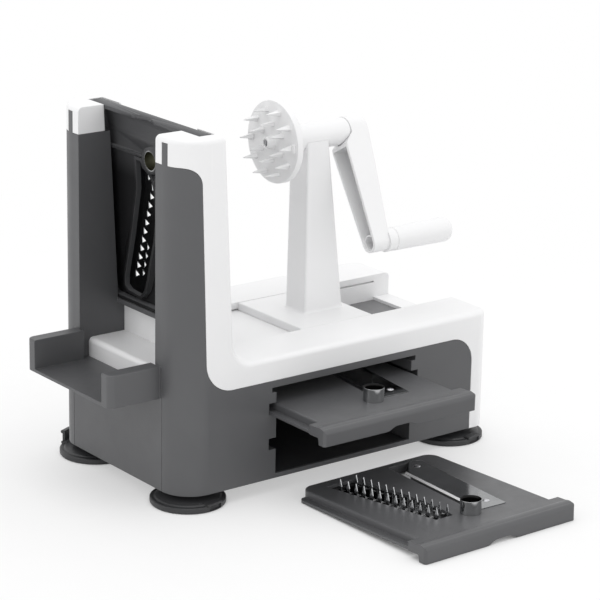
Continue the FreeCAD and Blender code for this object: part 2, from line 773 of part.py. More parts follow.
def make_ring():
    """Coring tube with a sharpened mouth."""
    tip = plate_thickness + ring_height
    tube = rod_z(0, ring_from_handle, 0.4, tip, ring_radius)
    tube = tube.cut(rod_z(0, ring_from_handle, -1, REACH, ring_radius - ring_wall))
    cone = Part.makeCone(ring_radius - ring_wall, ring_radius, 1.4,
                         V(0, ring_from_handle, tip - 1.4))
    return tube.cut(cone)


def laid(points):
    """Points given as shares of the plate's half width and its length."""
    return [(u * plate_width / 2, v * plate_length) for u, v in points]


# outlines of the blade, its slot and its rivets
blade_outline = laid([(0.1374, 0.3042), (0.1603, 0.2233), (0.5221, 0.2168), (0.7099, 0.9385),
                      (0.5725, 0.9599), (0.2672, 0.835)])
blade_slot = laid([(0.0794, 0.3107), (0.2061, 0.3042), (0.3282, 0.8252), (0.5878, 0.9502),
                   (0.2412, 0.9547)])
rivet_places = laid([(0.3878, 0.2945), (0.5344, 0.877)])
rivet_radius = 2.7
rivet_shoulder = 1.0
rivet_head = 0.6


def straight_blade():
    """Slicing blade whose sharpened edge stands over the slot."""
    blade = quad(blade_outline, plate_thickness - 0.4, plate_thickness - 0.4 + blade_thickness)
    edge = V(blade_outline[-1][0] - blade_outline[0][0], blade_outline[-1][1] - blade_outline[0][1], 0)
    turn = -math.degrees(math.atan2(edge.x, edge.y))
    grind = Part.makeBox(4.0, plate_length, 3.0, V(-0.6, -10, 0))
    grind.rotate(V(0, 0, 0), V(0, 1, 0), -16)
    grind.rotate(V(0, 0, 0), V(0, 0, 1), turn)
    grind.translate(V(blade_outline[0][0], blade_outline[0][1], plate_thickness - 0.2))
    blade = blade.cut(grind)
    for u, v in rivet_places:
        blade = blade.cut(rod_z(u, v, 0, 2 * plate_thickness, rivet_radius - rivet_shoulder))
    return blade


def make_rivets(places):
    rivets = []
    for u, v in places:
        under = plate_thickness - plate_skin
        over = plate_thickness - 0.4 + blade_thickness
        stem = rod_z(u, v, under - rivet_head, over, rivet_radius - rivet_shoulder)
        head = Part.makeCone(rivet_radius, 0.75 * rivet_radius, rivet_head, V(u, v, over))
        tail = rod_z(u, v, under - rivet_head, under, rivet_radius)
        rivets.append(stem.fuse([head, tail]).removeSplitter())
    return Part.makeCompound(rivets)


def seat_blade(frame):
    """Recess, slot, slot wall and rivet holes for the straight blade."""
    outer = grown(blade_slot, 2.4)
    frame = frame.fuse(quad(outer, 1.0, plate_thickness))
    through = 2 * plate_thickness
    frame = frame.cut(quad(blade_slot, -5, through))
    recess = quad(grown(blade_outline, 0.2), plate_thickness - 0.4, through)
    frame = frame.cut(recess)
    for u, v in rivet_places:
        frame = frame.cut(rod_z(u, v, -1, 2 * plate_thickness, rivet_radius - rivet_shoulder))
        frame = frame.cut(rod_z(u, v, -1, plate_thickness - plate_skin, rivet_radius + seat_gap))
    return frame


# combs: opening in the plate as (u, v), and the two rows of teeth
chip_opening = laid([(-0.7405, 0.9288), (-0.4611, 0.2498), (-0.2061, 0.2498), (-0.1679, 0.3883),
                     (-0.1908, 0.6343), (-0.3405, 0.9288)])
chip_rows = [laid([(-0.6504, 0.8673), (-0.4, 0.2751)]),
             laid([(-0.4153, 0.8673), (-0.2382, 0.2751)])]
chip_teeth_count = 13
tooth_height = 10.4
tooth_width = 3.0
tooth_neck = 1.8
comb_thickness = 0.8
fine_opening = laid([(-0.889, 0.905), (-0.889, 0.855), (-0.555, 0.385), (-0.530, 0.275),
                     (-0.215, 0.275), (-0.150, 0.400), (-0.175, 0.500), (-0.470, 0.900),
                     (-0.600, 0.935), (-0.800, 0.935)])
fine_rows = [laid([(-0.802, 0.862), (-0.499, 0.481)]),
             laid([(-0.612, 0.862), (-0.309, 0.481)])]
fine_teeth_count = 9
fine_lead_teeth = laid([(-0.426, 0.431), (-0.359, 0.387), (-0.304, 0.341)])
fine_tooth_half = 2.9
fine_tooth_height = 4.6


def seat_comb(frame, opening):
    """Opening for a comb with a raised wall round it on the underside."""
    frame = frame.fuse(quad(grown(opening, 3.4), 0.6, plate_thickness))
    frame = frame.cut(quad(opening, -5, 2 * plate_thickness))
    return frame.cut(quad(grown(opening, 1.2), 0.0 - 5, plate_thickness - plate_skin))


def row_points(row, count):
    a = V(row[0][0], row[0][1], 0)
    b = V(row[1][0], row[1][1], 0)
    way = (b - a) * (1.0 / (count - 1))
    unit = V(way).normalize()
    return [a + way * i for i in range(count)], unit, V(0, 0, 1).cross(unit).normalize()


def comb_sheet(opening):
    """Thin steel sheet under the skin that closes the comb's opening."""
    top = plate_thickness - plate_skin - 0.05
    return quad(grown(opening, 1.0), top - comb_thickness, top)


def make_chip_teeth():
    """Steel sheet with two rows of upright spear-shaped teeth beside open slots."""
    sheet = comb_sheet(chip_opening)
    top = plate_thickness - plate_skin - 0.05
    teeth = []
    for row in chip_rows:
        points, way, side = row_points(row, chip_teeth_count)
        for foot in points:
            base = foot + V(0, 0, top - 0.4)
            barb = V(0, 0, 0.44 * tooth_height)
            outline = [base - way * tooth_neck / 2, base + way * tooth_neck / 2,
                       base + way * tooth_width / 2 + barb, base + V(0, 0, tooth_height),
                       base - way * tooth_width / 2 + barb]
            tooth = polygon_prism(outline, side * comb_thickness)
            tooth.translate(side * -comb_thickness / 2)
            teeth.append(tooth)
            # window the tooth was bent out of
            hole = [foot - way * 1.6 + side * 0.6, foot + way * 1.6 + side * 0.6,
                    foot + way * 1.6 + side * 4.4, foot - way * 1.6 + side * 4.4]
            sheet = sheet.cut(polygon_prism(hole, V(0, 0, 2 * plate_thickness)))
    return sheet.fuse(teeth).removeSplitter()


def make_fine_teeth():
    """Steel sheet with two rows of small triangular teeth bent out of triangular holes."""
    sheet = comb_sheet(fine_opening)
    top = plate_thickness - plate_skin - 0.05
    teeth = []
    for row in fine_rows:
        points, way, side = row_points(row, fine_teeth_count)
        if row is fine_rows[0]:
            points = points + [V(u, v, 0) for u, v in fine_lead_teeth]
        for foot in points:
            hole = [foot - way * fine_tooth_half, foot + way * fine_tooth_half,
                    foot + side * fine_tooth_height]
            sheet = sheet.cut(polygon_prism(hole, V(0, 0, 2 * plate_thickness)))
            base = foot + V(0, 0, top - 0.6)
            tooth = polygon_prism([base - way * fine_tooth_half, base + way * fine_tooth_half,
                                   base + V(0, 0, fine_tooth_height + 0.8)],
                                  side * -comb_thickness)
            teeth.append(tooth)
    comb = sheet.fuse(teeth)
    # ground down beside the tower columns so that the plate still lifts out
    free = column_inner_far - mid_y - 2 * slide_play
    for u0 in (-REACH, free):
        comb = comb.cut(box(u0, u0 + REACH - free if u0 < 0 else REACH, -REACH, REACH,
                            plate_thickness, REACH))
    return comb.removeSplitter()


def make_slicer_plate():
    return seat_blade(ring_boss(plate_blank()))


def make_chip_plate():
    return seat_comb(seat_blade(ring_boss(plate_blank())), chip_opening)


def make_fine_plate():
    return seat_comb(seat_blade(ring_boss(plate_blank())), fine_opening)


# ------------------------------------------------------------------ carriage
def post_section(x0, x1, width, z, radius):
    """Rounded rectangle wire at a height."""
    y0 = mid_y - width / 2
    y1 = mid_y + width / 2
    solid = rounded_plan(x0, x1, y0, y1, radius, radius, z, z + 1)
    bottom = min(solid.Faces, key=lambda f: f.CenterOfMass.z)
    return bottom.OuterWire


def post_form(inset, z0, z1):
    """Tapered post: its tower side is upright, its crank side and flanks draw in."""
    top_x1 = post_left + post_top_length - inset
    base_x1 = post_left + post_base_length - inset
    sections = [
        post_section(post_left + inset, base_x1, post_base_width - 2 * inset, z0, 2.0),
        post_section(post_left + 1.0 + inset, top_x1, post_top_width - 2 * inset, z1, 2.0)]
    return Part.makeLoft(sections, True, True)


def make_carriage():
    x0 = carriage_left
    x1 = carriage_left + carriage_length
    play = carriage_play
    y0 = channel_y0 + play
    y1 = channel_y1 - play
    z0 = channel_z + 0.15
    plate = box(x0, x1, y0, y1, z0, deck_height)
    plate = fillet_edges(plate, 1.0, lambda e: abs(middle(e).z - deck_height) < 1e-3)
    reach = runner_slot_depth - 0.6
    runners = box(x0 + 1, x1 - 1, y0 - reach, y1 + reach, z0, z0 + runner_slot_height - 0.4)
    post = post_form(0.0, deck_height - 1.0, axis_height - 2)
    hub = rod_x(hub_start, hub_end, mid_y, axis_height, hub_radius)
    body = plate.fuse([runners, post, hub]).removeSplitter()
    body = fillet_edges(body, 2.4, lambda e: abs(middle(e).z - deck_height) < 0.3
                        and post_left - 2 < middle(e).x < post_left + post_base_length + 2
                        and abs(middle(e).y - mid_y) < post_base_width / 2 + 2)
    under = box(x0 + carriage_wall, x1 - carriage_wall, y0 + carriage_wall, y1 - carriage_wall,
                z0 - 1, deck_height - carriage_wall)
    hollow = post_form(carriage_wall, deck_height - 5, axis_height - hub_radius - 3)
    body = body.cut(under).cut(hollow)
    # cross ribs under the plate carry the post
    for y in (mid_y - post_base_width / 2 - 6, mid_y + post_base_width / 2 + 4):
        body = body.fuse(box(x0 + 1, x1 - 1, y, y + 2, z0, deck_height - 1))
    bore = rod_x(hub_start - 1, hub_end + 1, mid_y, axis_height, shaft_radius + 1.0)
    seat = shaft_radius + bush_wall
    body = body.cut(bore)
    body = body.cut(rod_x(hub_start - 1, hub_start + bush_length, mid_y, axis_height, seat))
    body = body.cut(rod_x(hub_end - bush_length, hub_end + 1, mid_y, axis_height, seat))
    return body.removeSplitter()


def make_bush(x0):
    outer = rod_x(x0, x0 + bush_length, mid_y, axis_height, shaft_radius + bush_wall)
    return outer.cut(rod_x(x0 - 1, x0 + bush_length + 1, mid_y, axis_height,
                           shaft_radius + running_gap))


# ------------------------------------------------------------------ spiked disc and shaft
def shaft_flat():
    """What is ground off the shaft's end so that the crank head can't slip."""
    return box(crank_head_end - shaft_flat_length, crank_head_end, mid_y - 2 * shaft_radius,
               mid_y + 2 * shaft_radius, axis_height + 0.75 * shaft_radius,
               axis_height + 3 * shaft_radius)


def make_shaft():
    """Steel shaft from the disc's boss through the hub to the crank head."""
    start = disc_face_x + disc_plate
    shaft = rod_x(start - 4, crank_head_end - shaft_end_cover, mid_y, axis_height, shaft_radius)
    flat = shaft_flat()
    tapped = rod_x(start - 5, start + 8, mid_y, axis_height, screw_radius)
    return shaft.cut(flat).cut(tapped)


def flat_spike():
    """Flat-sided spike that points to -X, its wider side along Z."""
    a = spike_depth / 2
    b = spike_width / 2
    tip = spike_tip / 2
    spike = Part.makeWedge(-a, 0, -b, -tip, -tip, a, spike_length + 0.5, b, tip, tip)
    spike.rotate(V(0, 0, 0), V(0, 0, 1), 90)
    return spike


def make_disc():
    x0 = disc_face_x
    disc = rod_x(x0, x0 + disc_plate, mid_y, axis_height, disc_radius)
    rim = rod_x(x0, x0 + disc_rim_length, mid_y, axis_height, disc_radius)
    rim = rim.cut(rod_x(x0 - 1, x0 + 20, mid_y, axis_height, disc_radius - disc_rim_wall))
    rim = fillet_edges(rim, 0.9, lambda e: abs(middle(e).x - x0) < 1e-3
                       and abs(middle(e).distanceToPoint(V(x0, mid_y, axis_height))
                               - disc_radius) < 0.1)
    boss = Part.makeCone(disc_boss_radius - 0.8, disc_boss_radius, disc_boss_length,
                         V(x0 - disc_boss_length, mid_y, axis_height), V(1, 0, 0))
    socket = rod_x(x0, hub_start - end_gap, mid_y, axis_height, shaft_radius + 4.0)
    disc = disc.fuse([rim, boss, socket])
    # stiffening ribs behind the plate
    for i in range(6):
        rib = box(x0 + 1, x0 + disc_rim_length - 0.6, -0.8, 0.8, shaft_radius + 3,
                  disc_radius - 1.0)
        rib.rotate(V(0, 0, 0), V(1, 0, 0), 60 * i)
        rib.translate(V(0, mid_y, axis_height))
        disc = disc.fuse(rib)
    solids = []
    for count, circle, start in ((outer_spikes, outer_spike_circle, 18.0),
                                 (inner_spikes, inner_spike_circle, 0.0)):
        for i in range(count):
            spike = flat_spike()
            spike.translate(V(x0 + 0.5, circle, 0))
            spike.rotate(V(0, 0, 0), V(1, 0, 0), start + 360.0 * i / count)
            spike.translate(V(0, mid_y, axis_height))
            solids.append(spike)
    # two stop blocks moulded on the face near the rim
    for sign in (-1, 1):
        z = axis_height + sign * (disc_radius - 4.4)
        solids.append(box(x0 - 1.8, x0 + 0.5, mid_y - 3.2, mid_y + 3.2, z - 1.3, z + 1.3))
    disc = disc.fuse(solids)
    start = disc_face_x + disc_plate
    disc = disc.cut(rod_x(start - 4, start + 20, mid_y, axis_height, shaft_radius))
    disc = disc.cut(rod_x(x0 - disc_boss_length - 1, start, mid_y, axis_height,
                          screw_radius + 0.1))
    counterbore = disc_screw_head + 0.3
    disc = disc.cut(rod_x(x0 - disc_boss_length - 1, x0 - 3.4, mid_y, axis_height, counterbore))
    return disc.removeSplitter()


def make_disc_screw():
    head_start = disc_face_x - 3.4 - 2.2
    head = rod_x(head_start, head_start + 2.2, mid_y, axis_height, disc_screw_head)
    shank = rod_x(head_start + 2.2, disc_face_x + disc_plate + 6, mid_y, axis_height,
                  screw_radius)
    slot = box(head_start - 1, head_start + 1.0, mid_y - 0.5, mid_y + 0.5, axis_height - 5,
               axis_height + 5)
    return head.fuse(shank).cut(slot)


# ------------------------------------------------------------------ crank arm and grip
def crank_place(shape):
    """Turn a piece drawn hanging straight down from the shaft into the crank's rest place."""
    placed = shape.copy()
    placed.rotate(V(0, 0, 0), V(1, 0, 0), -crank_angle)
    placed.translate(V(0, mid_y, axis_height))
    return placed


def arm_form(inset, left, top_drop):
    """Tapered bar from the head to the arm's end, drawn hanging down from the origin."""
    z_top = -top_drop
    z_low = -crank_radius
    sections = []
    for z, half, right in ((z_top, arm_half_top, arm_right_top),
                           (z_low, arm_half_low, arm_right_low)):
        h = half - inset
        r = right - inset
        points = [V(left, -h, z), V(r, -h, z), V(r, h, z), V(left, h, z)]
        sections.append(Part.makePolygon(points + [points[0]]))
    bar = Part.makeLoft(sections, True, True)
    end = rod_x(left, arm_right_low - inset, 0, z_low, arm_half_low - inset)
    return bar.fuse(end)


def make_crank_arm():
    head_start = hub_end + end_gap
    clear = hub_radius + arm_hub_gap
    bar = arm_form(0.0, arm_left, arm_top_drop)
    bar = bar.cut(rod_x(arm_left - 1, head_start, 0, 0, clear))
    neck = box(head_start, arm_right_top - 0.5, -arm_half_top, arm_half_top, -clear - 1, 0)
    head = rod_x(head_start, crank_head_end, 0, 0, crank_head_radius)
    head = fillet_edges(head, 5.0, lambda e: abs(middle(e).x - crank_head_end) < 1e-3)
    collar = rod_x(arm_right_low - 3, collar_end, 0, -crank_radius, collar_radius)
    arm = bar.fuse([neck, head, collar]).removeSplitter()
    arm = fillet_edges(arm, 1.6, lambda e: is_line(e) and middle(e).x > arm_right_low - 3.5
                       and -0.87 * crank_radius < middle(e).z < -0.22 * crank_radius)
    # channel open towards the post, closed round the hub, with a boss round the pin's head
    channel = arm_form(arm_wall, arm_left - 1, arm_top_drop)
    channel = channel.cut(rod_x(arm_left - 2, body_length, 0, 0, clear + arm_wall))
    floor_x = arm_right_low - arm_wall
    boss = rod_x(floor_x - pin_boss_height, floor_x + 1, 0, -crank_radius, pin_boss_radius)
    seat = rod_x(floor_x - pin_boss_height - 1, floor_x, 0, -crank_radius,
                 pin_radius + 2.0 + seat_gap)
    arm = arm.cut(channel).fuse(boss.common(arm_form(0.5, arm_left, arm_top_drop))).cut(seat)
    pin_hole = rod_x(arm_left, collar_end + 1, 0, -crank_radius, pin_radius)
    socket = rod_x(head_start - 1, crank_head_end - shaft_end_cover, 0, 0, shaft_radius)
    arm = arm.cut(pin_hole)
    arm = crank_place(arm)
    socket = crank_place(socket)
    flat = shaft_flat()
    return arm.cut(socket.cut(flat)).removeSplitter()


def make_grip_pin():
    face = arm_right_low - arm_wall
    head = rod_x(face - pin_head, face, 0, -crank_radius, pin_radius + 2.0)
    pin = rod_x(face - pin_head / 2, pin_reach, 0, -crank_radius, pin_radius)
    return crank_place(head.fuse(pin).removeSplitter())


def make_grip():
    """Turning handle with a soft domed end and a shallow collar."""
    x0 = collar_end + end_gap
    r0 = grip_start_radius
    r1 = grip_end_radius
    dome = 6.0
    k = math.sqrt(0.5)
    edges = [
        line(V(x0, 0, 0), V(x0, 0, r0 - 0.6)),
        line(V(x0, 0, r0 - 0.6), V(x0 + 0.6, 0, r0)),
        line(V(x0 + 0.6, 0, r0), V(grip_end - dome, 0, r1)),
        arc(V(grip_end - dome, 0, r1), V(grip_end - dome + k * dome, 0, r1 - dome + k * dome),
            V(grip_end, 0, r1 - dome)),
        line(V(grip_end, 0, r1 - dome), V(grip_end, 0, 0)),
        line(V(grip_end, 0, 0), V(x0, 0, 0)),
    ]
    grip = Part.Face(Part.Wire(edges)).revolve(V(0, 0, 0), V(1, 0, 0), 360)
    grip = grip.cut(rod_x(x0 - 1, pin_reach + 1, 0, 0, pin_radius + running_gap))
    grip.translate(V(0, 0, -crank_radius))
    return crank_place(grip)


# ------------------------------------------------------------------ placing the plates
def stored_place(shape, groove_z, out):
    """A plate in a storage groove, drawn out by a length."""
    placed = shape.copy()
    placed.translate(V(bay_mid, -handle_depth - slide_play - out,
                       groove_z + 0.1 - flange_bottom))
    return placed


def table_place(shape):
    """A plate lying on the table on its handle and its far edge."""
    placed = shape.copy()
    heel = handle_lip
    tilt = math.degrees(math.asin(handle_drop / (plate_length - heel)))
    placed.translate(V(0, -heel, handle_drop))
    placed.rotate(V(0, 0, 0), V(1, 0, 0), -tilt)
    placed.translate(V(0, heel, 0))
    placed.rotate(V(0, 0, 0), V(0, 0, 1), loose_plate_turn)
    placed.translate(V(loose_plate_x, loose_plate_front, 0))
    return placed


# ------------------------------------------------------------------ build every node
def build():
    outer = outer_form()
    core = core_form()
    region = white_region()
    nodes = {}
    nodes["upper_housing"] = make_upper_housing(outer, core, region)
    nodes["lower_housing"] = make_lower_housing(outer, core, region)
    nodes["base_plate"] = make_base_plate()
    nodes["end_tray"] = make_end_tray()
    nodes["discharge_step"] = make_discharge_step()
    names = ("front_left", "rear_left", "front_right", "rear_right")
    for name, (x, y) in zip(names, foot_places()):
        nodes["foot_" + name] = make_foot(x, y, y > mid_y)
    nodes["foot_studs"] = make_foot_studs()
    nodes["housing_screws"] = make_base_screws()

    nodes["carriage"] = make_carriage()
    nodes["hub_bush_disc_side"] = make_bush(hub_start)
    nodes["hub_bush_crank_side"] = make_bush(hub_end - bush_length)
    nodes["crank_shaft"] = make_shaft()
    nodes["spiked_disc"] = make_disc()
    nodes["disc_screw"] = make_disc_screw()
    nodes["crank_arm"] = make_crank_arm()
    nodes["grip_pin"] = make_grip_pin()
    nodes["crank_grip"] = make_grip()

    ring = make_ring()
    blade = straight_blade()
    nodes["fine_plate"] = tower_place(make_fine_plate())
    nodes["fine_teeth"] = tower_place(make_fine_teeth())
    nodes["fine_coring_tube"] = tower_place(ring)
    nodes["fine_blade"] = tower_place(blade)
    nodes["fine_rivets"] = tower_place(make_rivets(rivet_places))

    groove = upper_groove_z
    out = upper_plate_out
    nodes["slicer_plate"] = stored_place(make_slicer_plate(), groove, out)
    nodes["slicer_blade"] = stored_place(blade, groove, out)
    nodes["slicer_coring_tube"] = stored_place(ring, groove, out)
    nodes["slicer_rivets"] = stored_place(make_rivets(rivet_places), groove, out)

    nodes["chip_plate"] = table_place(make_chip_plate())
    nodes["chip_blade"] = table_place(blade)
    nodes["chip_teeth"] = table_place(make_chip_teeth())
    nodes["chip_coring_tube"] = table_place(ring)
    nodes["chip_rivets"] = table_place(make_rivets(rivet_places))
    return nodes


nodes = build()
everything = Part.makeCompound(list(nodes.values())).BoundBox
origin = V(everything.Center.x, everything.Center.y, everything.ZMin)
for name, shape in nodes.items():
    placed = shape.copy()
    placed.translate(-origin)
    placed.exportStep("parts/" + name + ".step")
    print(name, "solids", len(placed.Solids), "valid", placed.isValid(),
          "volume", round(placed.Volume, 1))
print("origin in body axes", [round(value, 4) for value in origin])
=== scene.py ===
"""Looks for the hand-cranked spiralizer: finishes, turned and repeated pieces, studio and camera.

Lengths in node trees, rules and finishes are metres. Seats, outlines and forms are millimetres.
"""
import contextlib
import math

import bmesh
import bpy
from mathutils import Matrix, Vector


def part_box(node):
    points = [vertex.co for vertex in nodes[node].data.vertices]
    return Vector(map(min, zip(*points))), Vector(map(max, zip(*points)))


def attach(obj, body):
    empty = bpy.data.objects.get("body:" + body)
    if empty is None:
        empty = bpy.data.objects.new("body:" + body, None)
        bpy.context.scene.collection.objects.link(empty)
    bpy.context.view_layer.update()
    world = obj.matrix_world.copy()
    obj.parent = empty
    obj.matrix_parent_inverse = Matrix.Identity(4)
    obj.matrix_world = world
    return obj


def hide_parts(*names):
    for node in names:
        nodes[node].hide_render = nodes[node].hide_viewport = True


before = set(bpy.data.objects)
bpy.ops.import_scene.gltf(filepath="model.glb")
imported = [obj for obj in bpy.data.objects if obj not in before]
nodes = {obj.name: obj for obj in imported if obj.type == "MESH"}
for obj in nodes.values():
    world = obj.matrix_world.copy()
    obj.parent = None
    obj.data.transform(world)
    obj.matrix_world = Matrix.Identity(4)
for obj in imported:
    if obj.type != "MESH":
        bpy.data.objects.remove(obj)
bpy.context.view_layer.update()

MM = 0.001
MIDDLE, AXIS_HEIGHT = 86.0, 248.7    # the crank's axis, from the housing's front face and the table
SLOT_LEAN, LOOSE_TURN = 3.0, 0.8     # degrees
HANDLE_LINE, HANDLE_DROP, HANDLE_TO_END = 7.0, 4.6, 147.5
TUBE_CENTRE = (0.0, 34.5, 0.0)       # the coring tube on a plate
BLADE_LEAN = (8.5, 82.0)             # the blade's run across and along its plate
GRIND = 16.0                         # degrees, the sharpened edge of the blade


# ------------------------------------- places
def shift(x, y, z):
    """Move by millimetres."""
    return Matrix.Translation(Vector((x, y, z)) * MM)


def tilt(axis, degrees):
    return Matrix.Rotation(math.radians(degrees), 4, axis)


# From the housing's tower end, front face and table to the row frame.
housing_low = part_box("upper_housing")[0]
to_row = Matrix.Translation(Vector((housing_low.x, housing_low.y, 0.0)))

# Plates stand or lie in their own axes: u across, v from the handle, t up from the underside.
# The loose plate rests on its far end and on its handle, which stands out below it.
upright = Matrix(((0, 0, 1, 0), (-1, 0, 0, 0), (0, -1, 0, 0), (0, 0, 0, 1)))
loose_slope = math.degrees(math.asin(HANDLE_DROP / HANDLE_TO_END))
tower_seat = to_row @ shift(27.7, MIDDLE, 283.199) @ tilt("Y", -SLOT_LEAN) @ upright
stored_seat = to_row @ shift(153.0, -69.4, 62.9)
table_seat = (to_row @ shift(162.8, -174.4, 0.0) @ tilt("Z", LOOSE_TURN)
              @ shift(0, HANDLE_LINE, 0) @ tilt("X", -loose_slope)
              @ shift(0, -HANDLE_LINE, HANDLE_DROP))

# How a plate's nodes begin, where the plate is, its seat and its body.
PLATES = (("fine", "tower", tower_seat, "tower_plate"),
          ("slicer", "stored", stored_seat, "stored_plate"),
          ("chip", "loose", table_seat, "loose_plate"))


def in_plate(seat, u, v, t):
    """A plate's own direction, in the row frame."""
    return tuple((seat.to_3x3() @ Vector((u, v, t))).normalized())


def ground_edge(seat):
    """The way the sharpened edge of a blade looks: turned over towards its cutting side."""
    lie, over = math.atan2(*BLADE_LEAN), math.radians(GRIND)
    return in_plate(seat, -math.sin(over) * math.cos(lie), math.sin(over) * math.sin(lie),
                    math.cos(over))


# ------------------------------------- node helpers
FLOAT, VECTOR, COUNT = "NodeSocketFloat", "NodeSocketVector", "NodeSocketInt"
GEOMETRY, FINISH = "NodeSocketGeometry", "NodeSocketMaterial"
NOWHERE = (0.0, 0.0, 0.0)


class Number:
    """A number inside a node tree, which adds, subtracts, multiplies and divides as usual."""

    def __init__(self, tree, socket):
        self.tree = tree
        self.socket = socket

    def __add__(self, other):
        return maths(self.tree, "ADD", self, other)

    def __sub__(self, other):
        return maths(self.tree, "SUBTRACT", self, other)

    def __rsub__(self, other):
        return maths(self.tree, "SUBTRACT", other, self)

    def __mul__(self, other):
        return maths(self.tree, "MULTIPLY", self, other)

    def __truediv__(self, other):
        return maths(self.tree, "DIVIDE", self, other)


def feed(tree, socket, value):
    """Link what feeds a socket, or set the socket's own value."""
    if isinstance(value, Number):
        value = value.socket
    if isinstance(value, bpy.types.NodeSocket):
        tree.links.new(value, socket)
    else:
        socket.default_value = value


def add(tree, kind, values=None, **settings):
    """One node with its settings; values are numbers or the sockets that feed it."""
    node = tree.nodes.new(kind)
    for name, value in settings.items():
        setattr(node, name, value)
    for key, value in (values or {}).items():
        feed(tree, node.inputs[key], value)
    return node


def by_name(tree, sockets):
    """Sockets by their names, the numbers among them ready to reckon with."""
    return {socket.name: Number(tree, socket) if socket.type == "VALUE" else socket
            for socket in sockets if socket.name}


def new_group(name, inputs, outputs, kind="ShaderNodeTree"):
    """Empty node group, with its inputs by name and the sockets of its outputs."""
    tree = bpy.data.node_groups.new(name, kind)
    for label, socket_kind, value in inputs:
        socket = tree.interface.new_socket(label, in_out="INPUT", socket_type=socket_kind)
        if value is not None:
            socket.default_value = value
    for label, socket_kind in outputs:
        tree.interface.new_socket(label, in_out="OUTPUT", socket_type=socket_kind)
    ins = by_name(tree, tree.nodes.new("NodeGroupInput").outputs)
    return tree, ins, tree.nodes.new("NodeGroupOutput").inputs


def put_out(tree, outs, **results):
    """Close a group by feeding its outputs."""
    for label, result in results.items():
        feed(tree, outs[label], result)
    return tree


def use(tree, group, **values):
    """Place a shared effect in a material with its own values, and give its outputs."""
    return by_name(tree, add(tree, "ShaderNodeGroup", values, node_tree=group).outputs)


def maths(tree, what, a, b=0.0, c=0.0, clamp=False):
    node = add(tree, "ShaderNodeMath", {0: a, 1: b, 2: c}, operation=what, use_clamp=clamp)
    return Number(tree, node.outputs[0])


def spread(tree, value, low, high, to_low=0.0, to_high=1.0):
    """Map a value from one span to another, held at the ends."""
    node = add(tree, "ShaderNodeMapRange", {"Value": value, "From Min": low, "From Max": high,
                                            "To Min": to_low, "To Max": to_high})
    return Number(tree, node.outputs[0])


def dot(tree, a, b):
    node = add(tree, "ShaderNodeVectorMath", {0: a, 1: b}, operation="DOT_PRODUCT")
    return Number(tree, node.outputs["Value"])


def vector(tree, what, a, b=NOWHERE):
    return add(tree, "ShaderNodeVectorMath", {0: a, 1: b}, operation=what).outputs[0]


def scaled(tree, a, scale):
    values = {0: a, "Scale": scale}
    return add(tree, "ShaderNodeVectorMath", values, operation="SCALE").outputs[0]


def point(tree, x=0.0, y=0.0, z=0.0):
    """A vector from its three numbers."""
    return add(tree, "ShaderNodeCombineXYZ", {"X": x, "Y": y, "Z": z}).outputs[0]


def along_and_across(tree, start, axis):
    """Split a vector into its run along an axis and what is left beside it."""
    lengthwise = scaled(tree, axis, dot(tree, start, axis))
    return lengthwise, vector(tree, "SUBTRACT", start, lengthwise)


def surface_point(tree):
    """The point on the surface, in the piece's own coordinates."""
    return add(tree, "ShaderNodeTexCoord").outputs["Object"]


def noise(tree, place, scale, detail, roughness=0.5, distortion=0.0):
    node = add(tree, "ShaderNodeTexNoise", {"Vector": place, "Scale": scale, "Detail": detail,
                                            "Roughness": roughness, "Distortion": distortion})
    return Number(tree, node.outputs["Fac"])


def seen_plainly(tree):
    """1 for rays from the camera, a mirror or glass, and 0 for those that light the object."""
    rays = add(tree, "ShaderNodeLightPath").outputs
    return maths(tree, "MAXIMUM", rays["Is Camera Ray"],
                 maths(tree, "MAXIMUM", rays["Is Glossy Ray"], rays["Is Transmission Ray"]))


# ------------------------------------- shared surface effects
def make_edge_wear_and_glint():
    """Rounded normal and a broken-up mask along the edges."""
    tree, ins, outs = new_group(
        "edge_wear_and_glint", [("Radius", FLOAT, 0.0006), ("Gain", FLOAT, 4.0)],
        [("Edge", FLOAT), ("Normal", VECTOR)])
    rounded = add(tree, "ShaderNodeBevel", {"Radius": ins["Radius"]}, samples=6).outputs[0]
    flat = add(tree, "ShaderNodeNewGeometry").outputs["Normal"]
    bend = 1.0 - dot(tree, rounded, flat)
    rub = noise(tree, surface_point(tree), 95.0, 4.0, roughness=0.6)
    broken = spread(tree, rub, 0.35, 0.65, 0.35, 1.0)
    edge = maths(tree, "MULTIPLY", bend * ins["Gain"], broken, clamp=True)
    return put_out(tree, outs, Edge=edge, Normal=rounded)


def make_mould_grain():
    """Spark-eroded mould texture, slow flow shading and handling marks."""
    tree, ins, outs = new_group(
        "mould_grain", [("Fineness", FLOAT, 1500.0), ("Marks", FLOAT, 55.0)],
        [("Height", FLOAT), ("Flow", FLOAT), ("Handling", FLOAT)])
    place = surface_point(tree)
    fine = noise(tree, place, ins["Fineness"], 2.0, roughness=0.55)
    pits = add(tree, "ShaderNodeTexVoronoi", {"Vector": place, "Scale": ins["Fineness"] * 0.6})
    height = maths(tree, "MULTIPLY_ADD", pits.outputs["Distance"], 0.5, fine)
    flow = noise(tree, place, 9.0, 3.0, distortion=0.8)
    marks = noise(tree, place, ins["Marks"], 6.0, roughness=0.62, distortion=0.5)
    return put_out(tree, outs, Height=height, Flow=flow, Handling=marks)


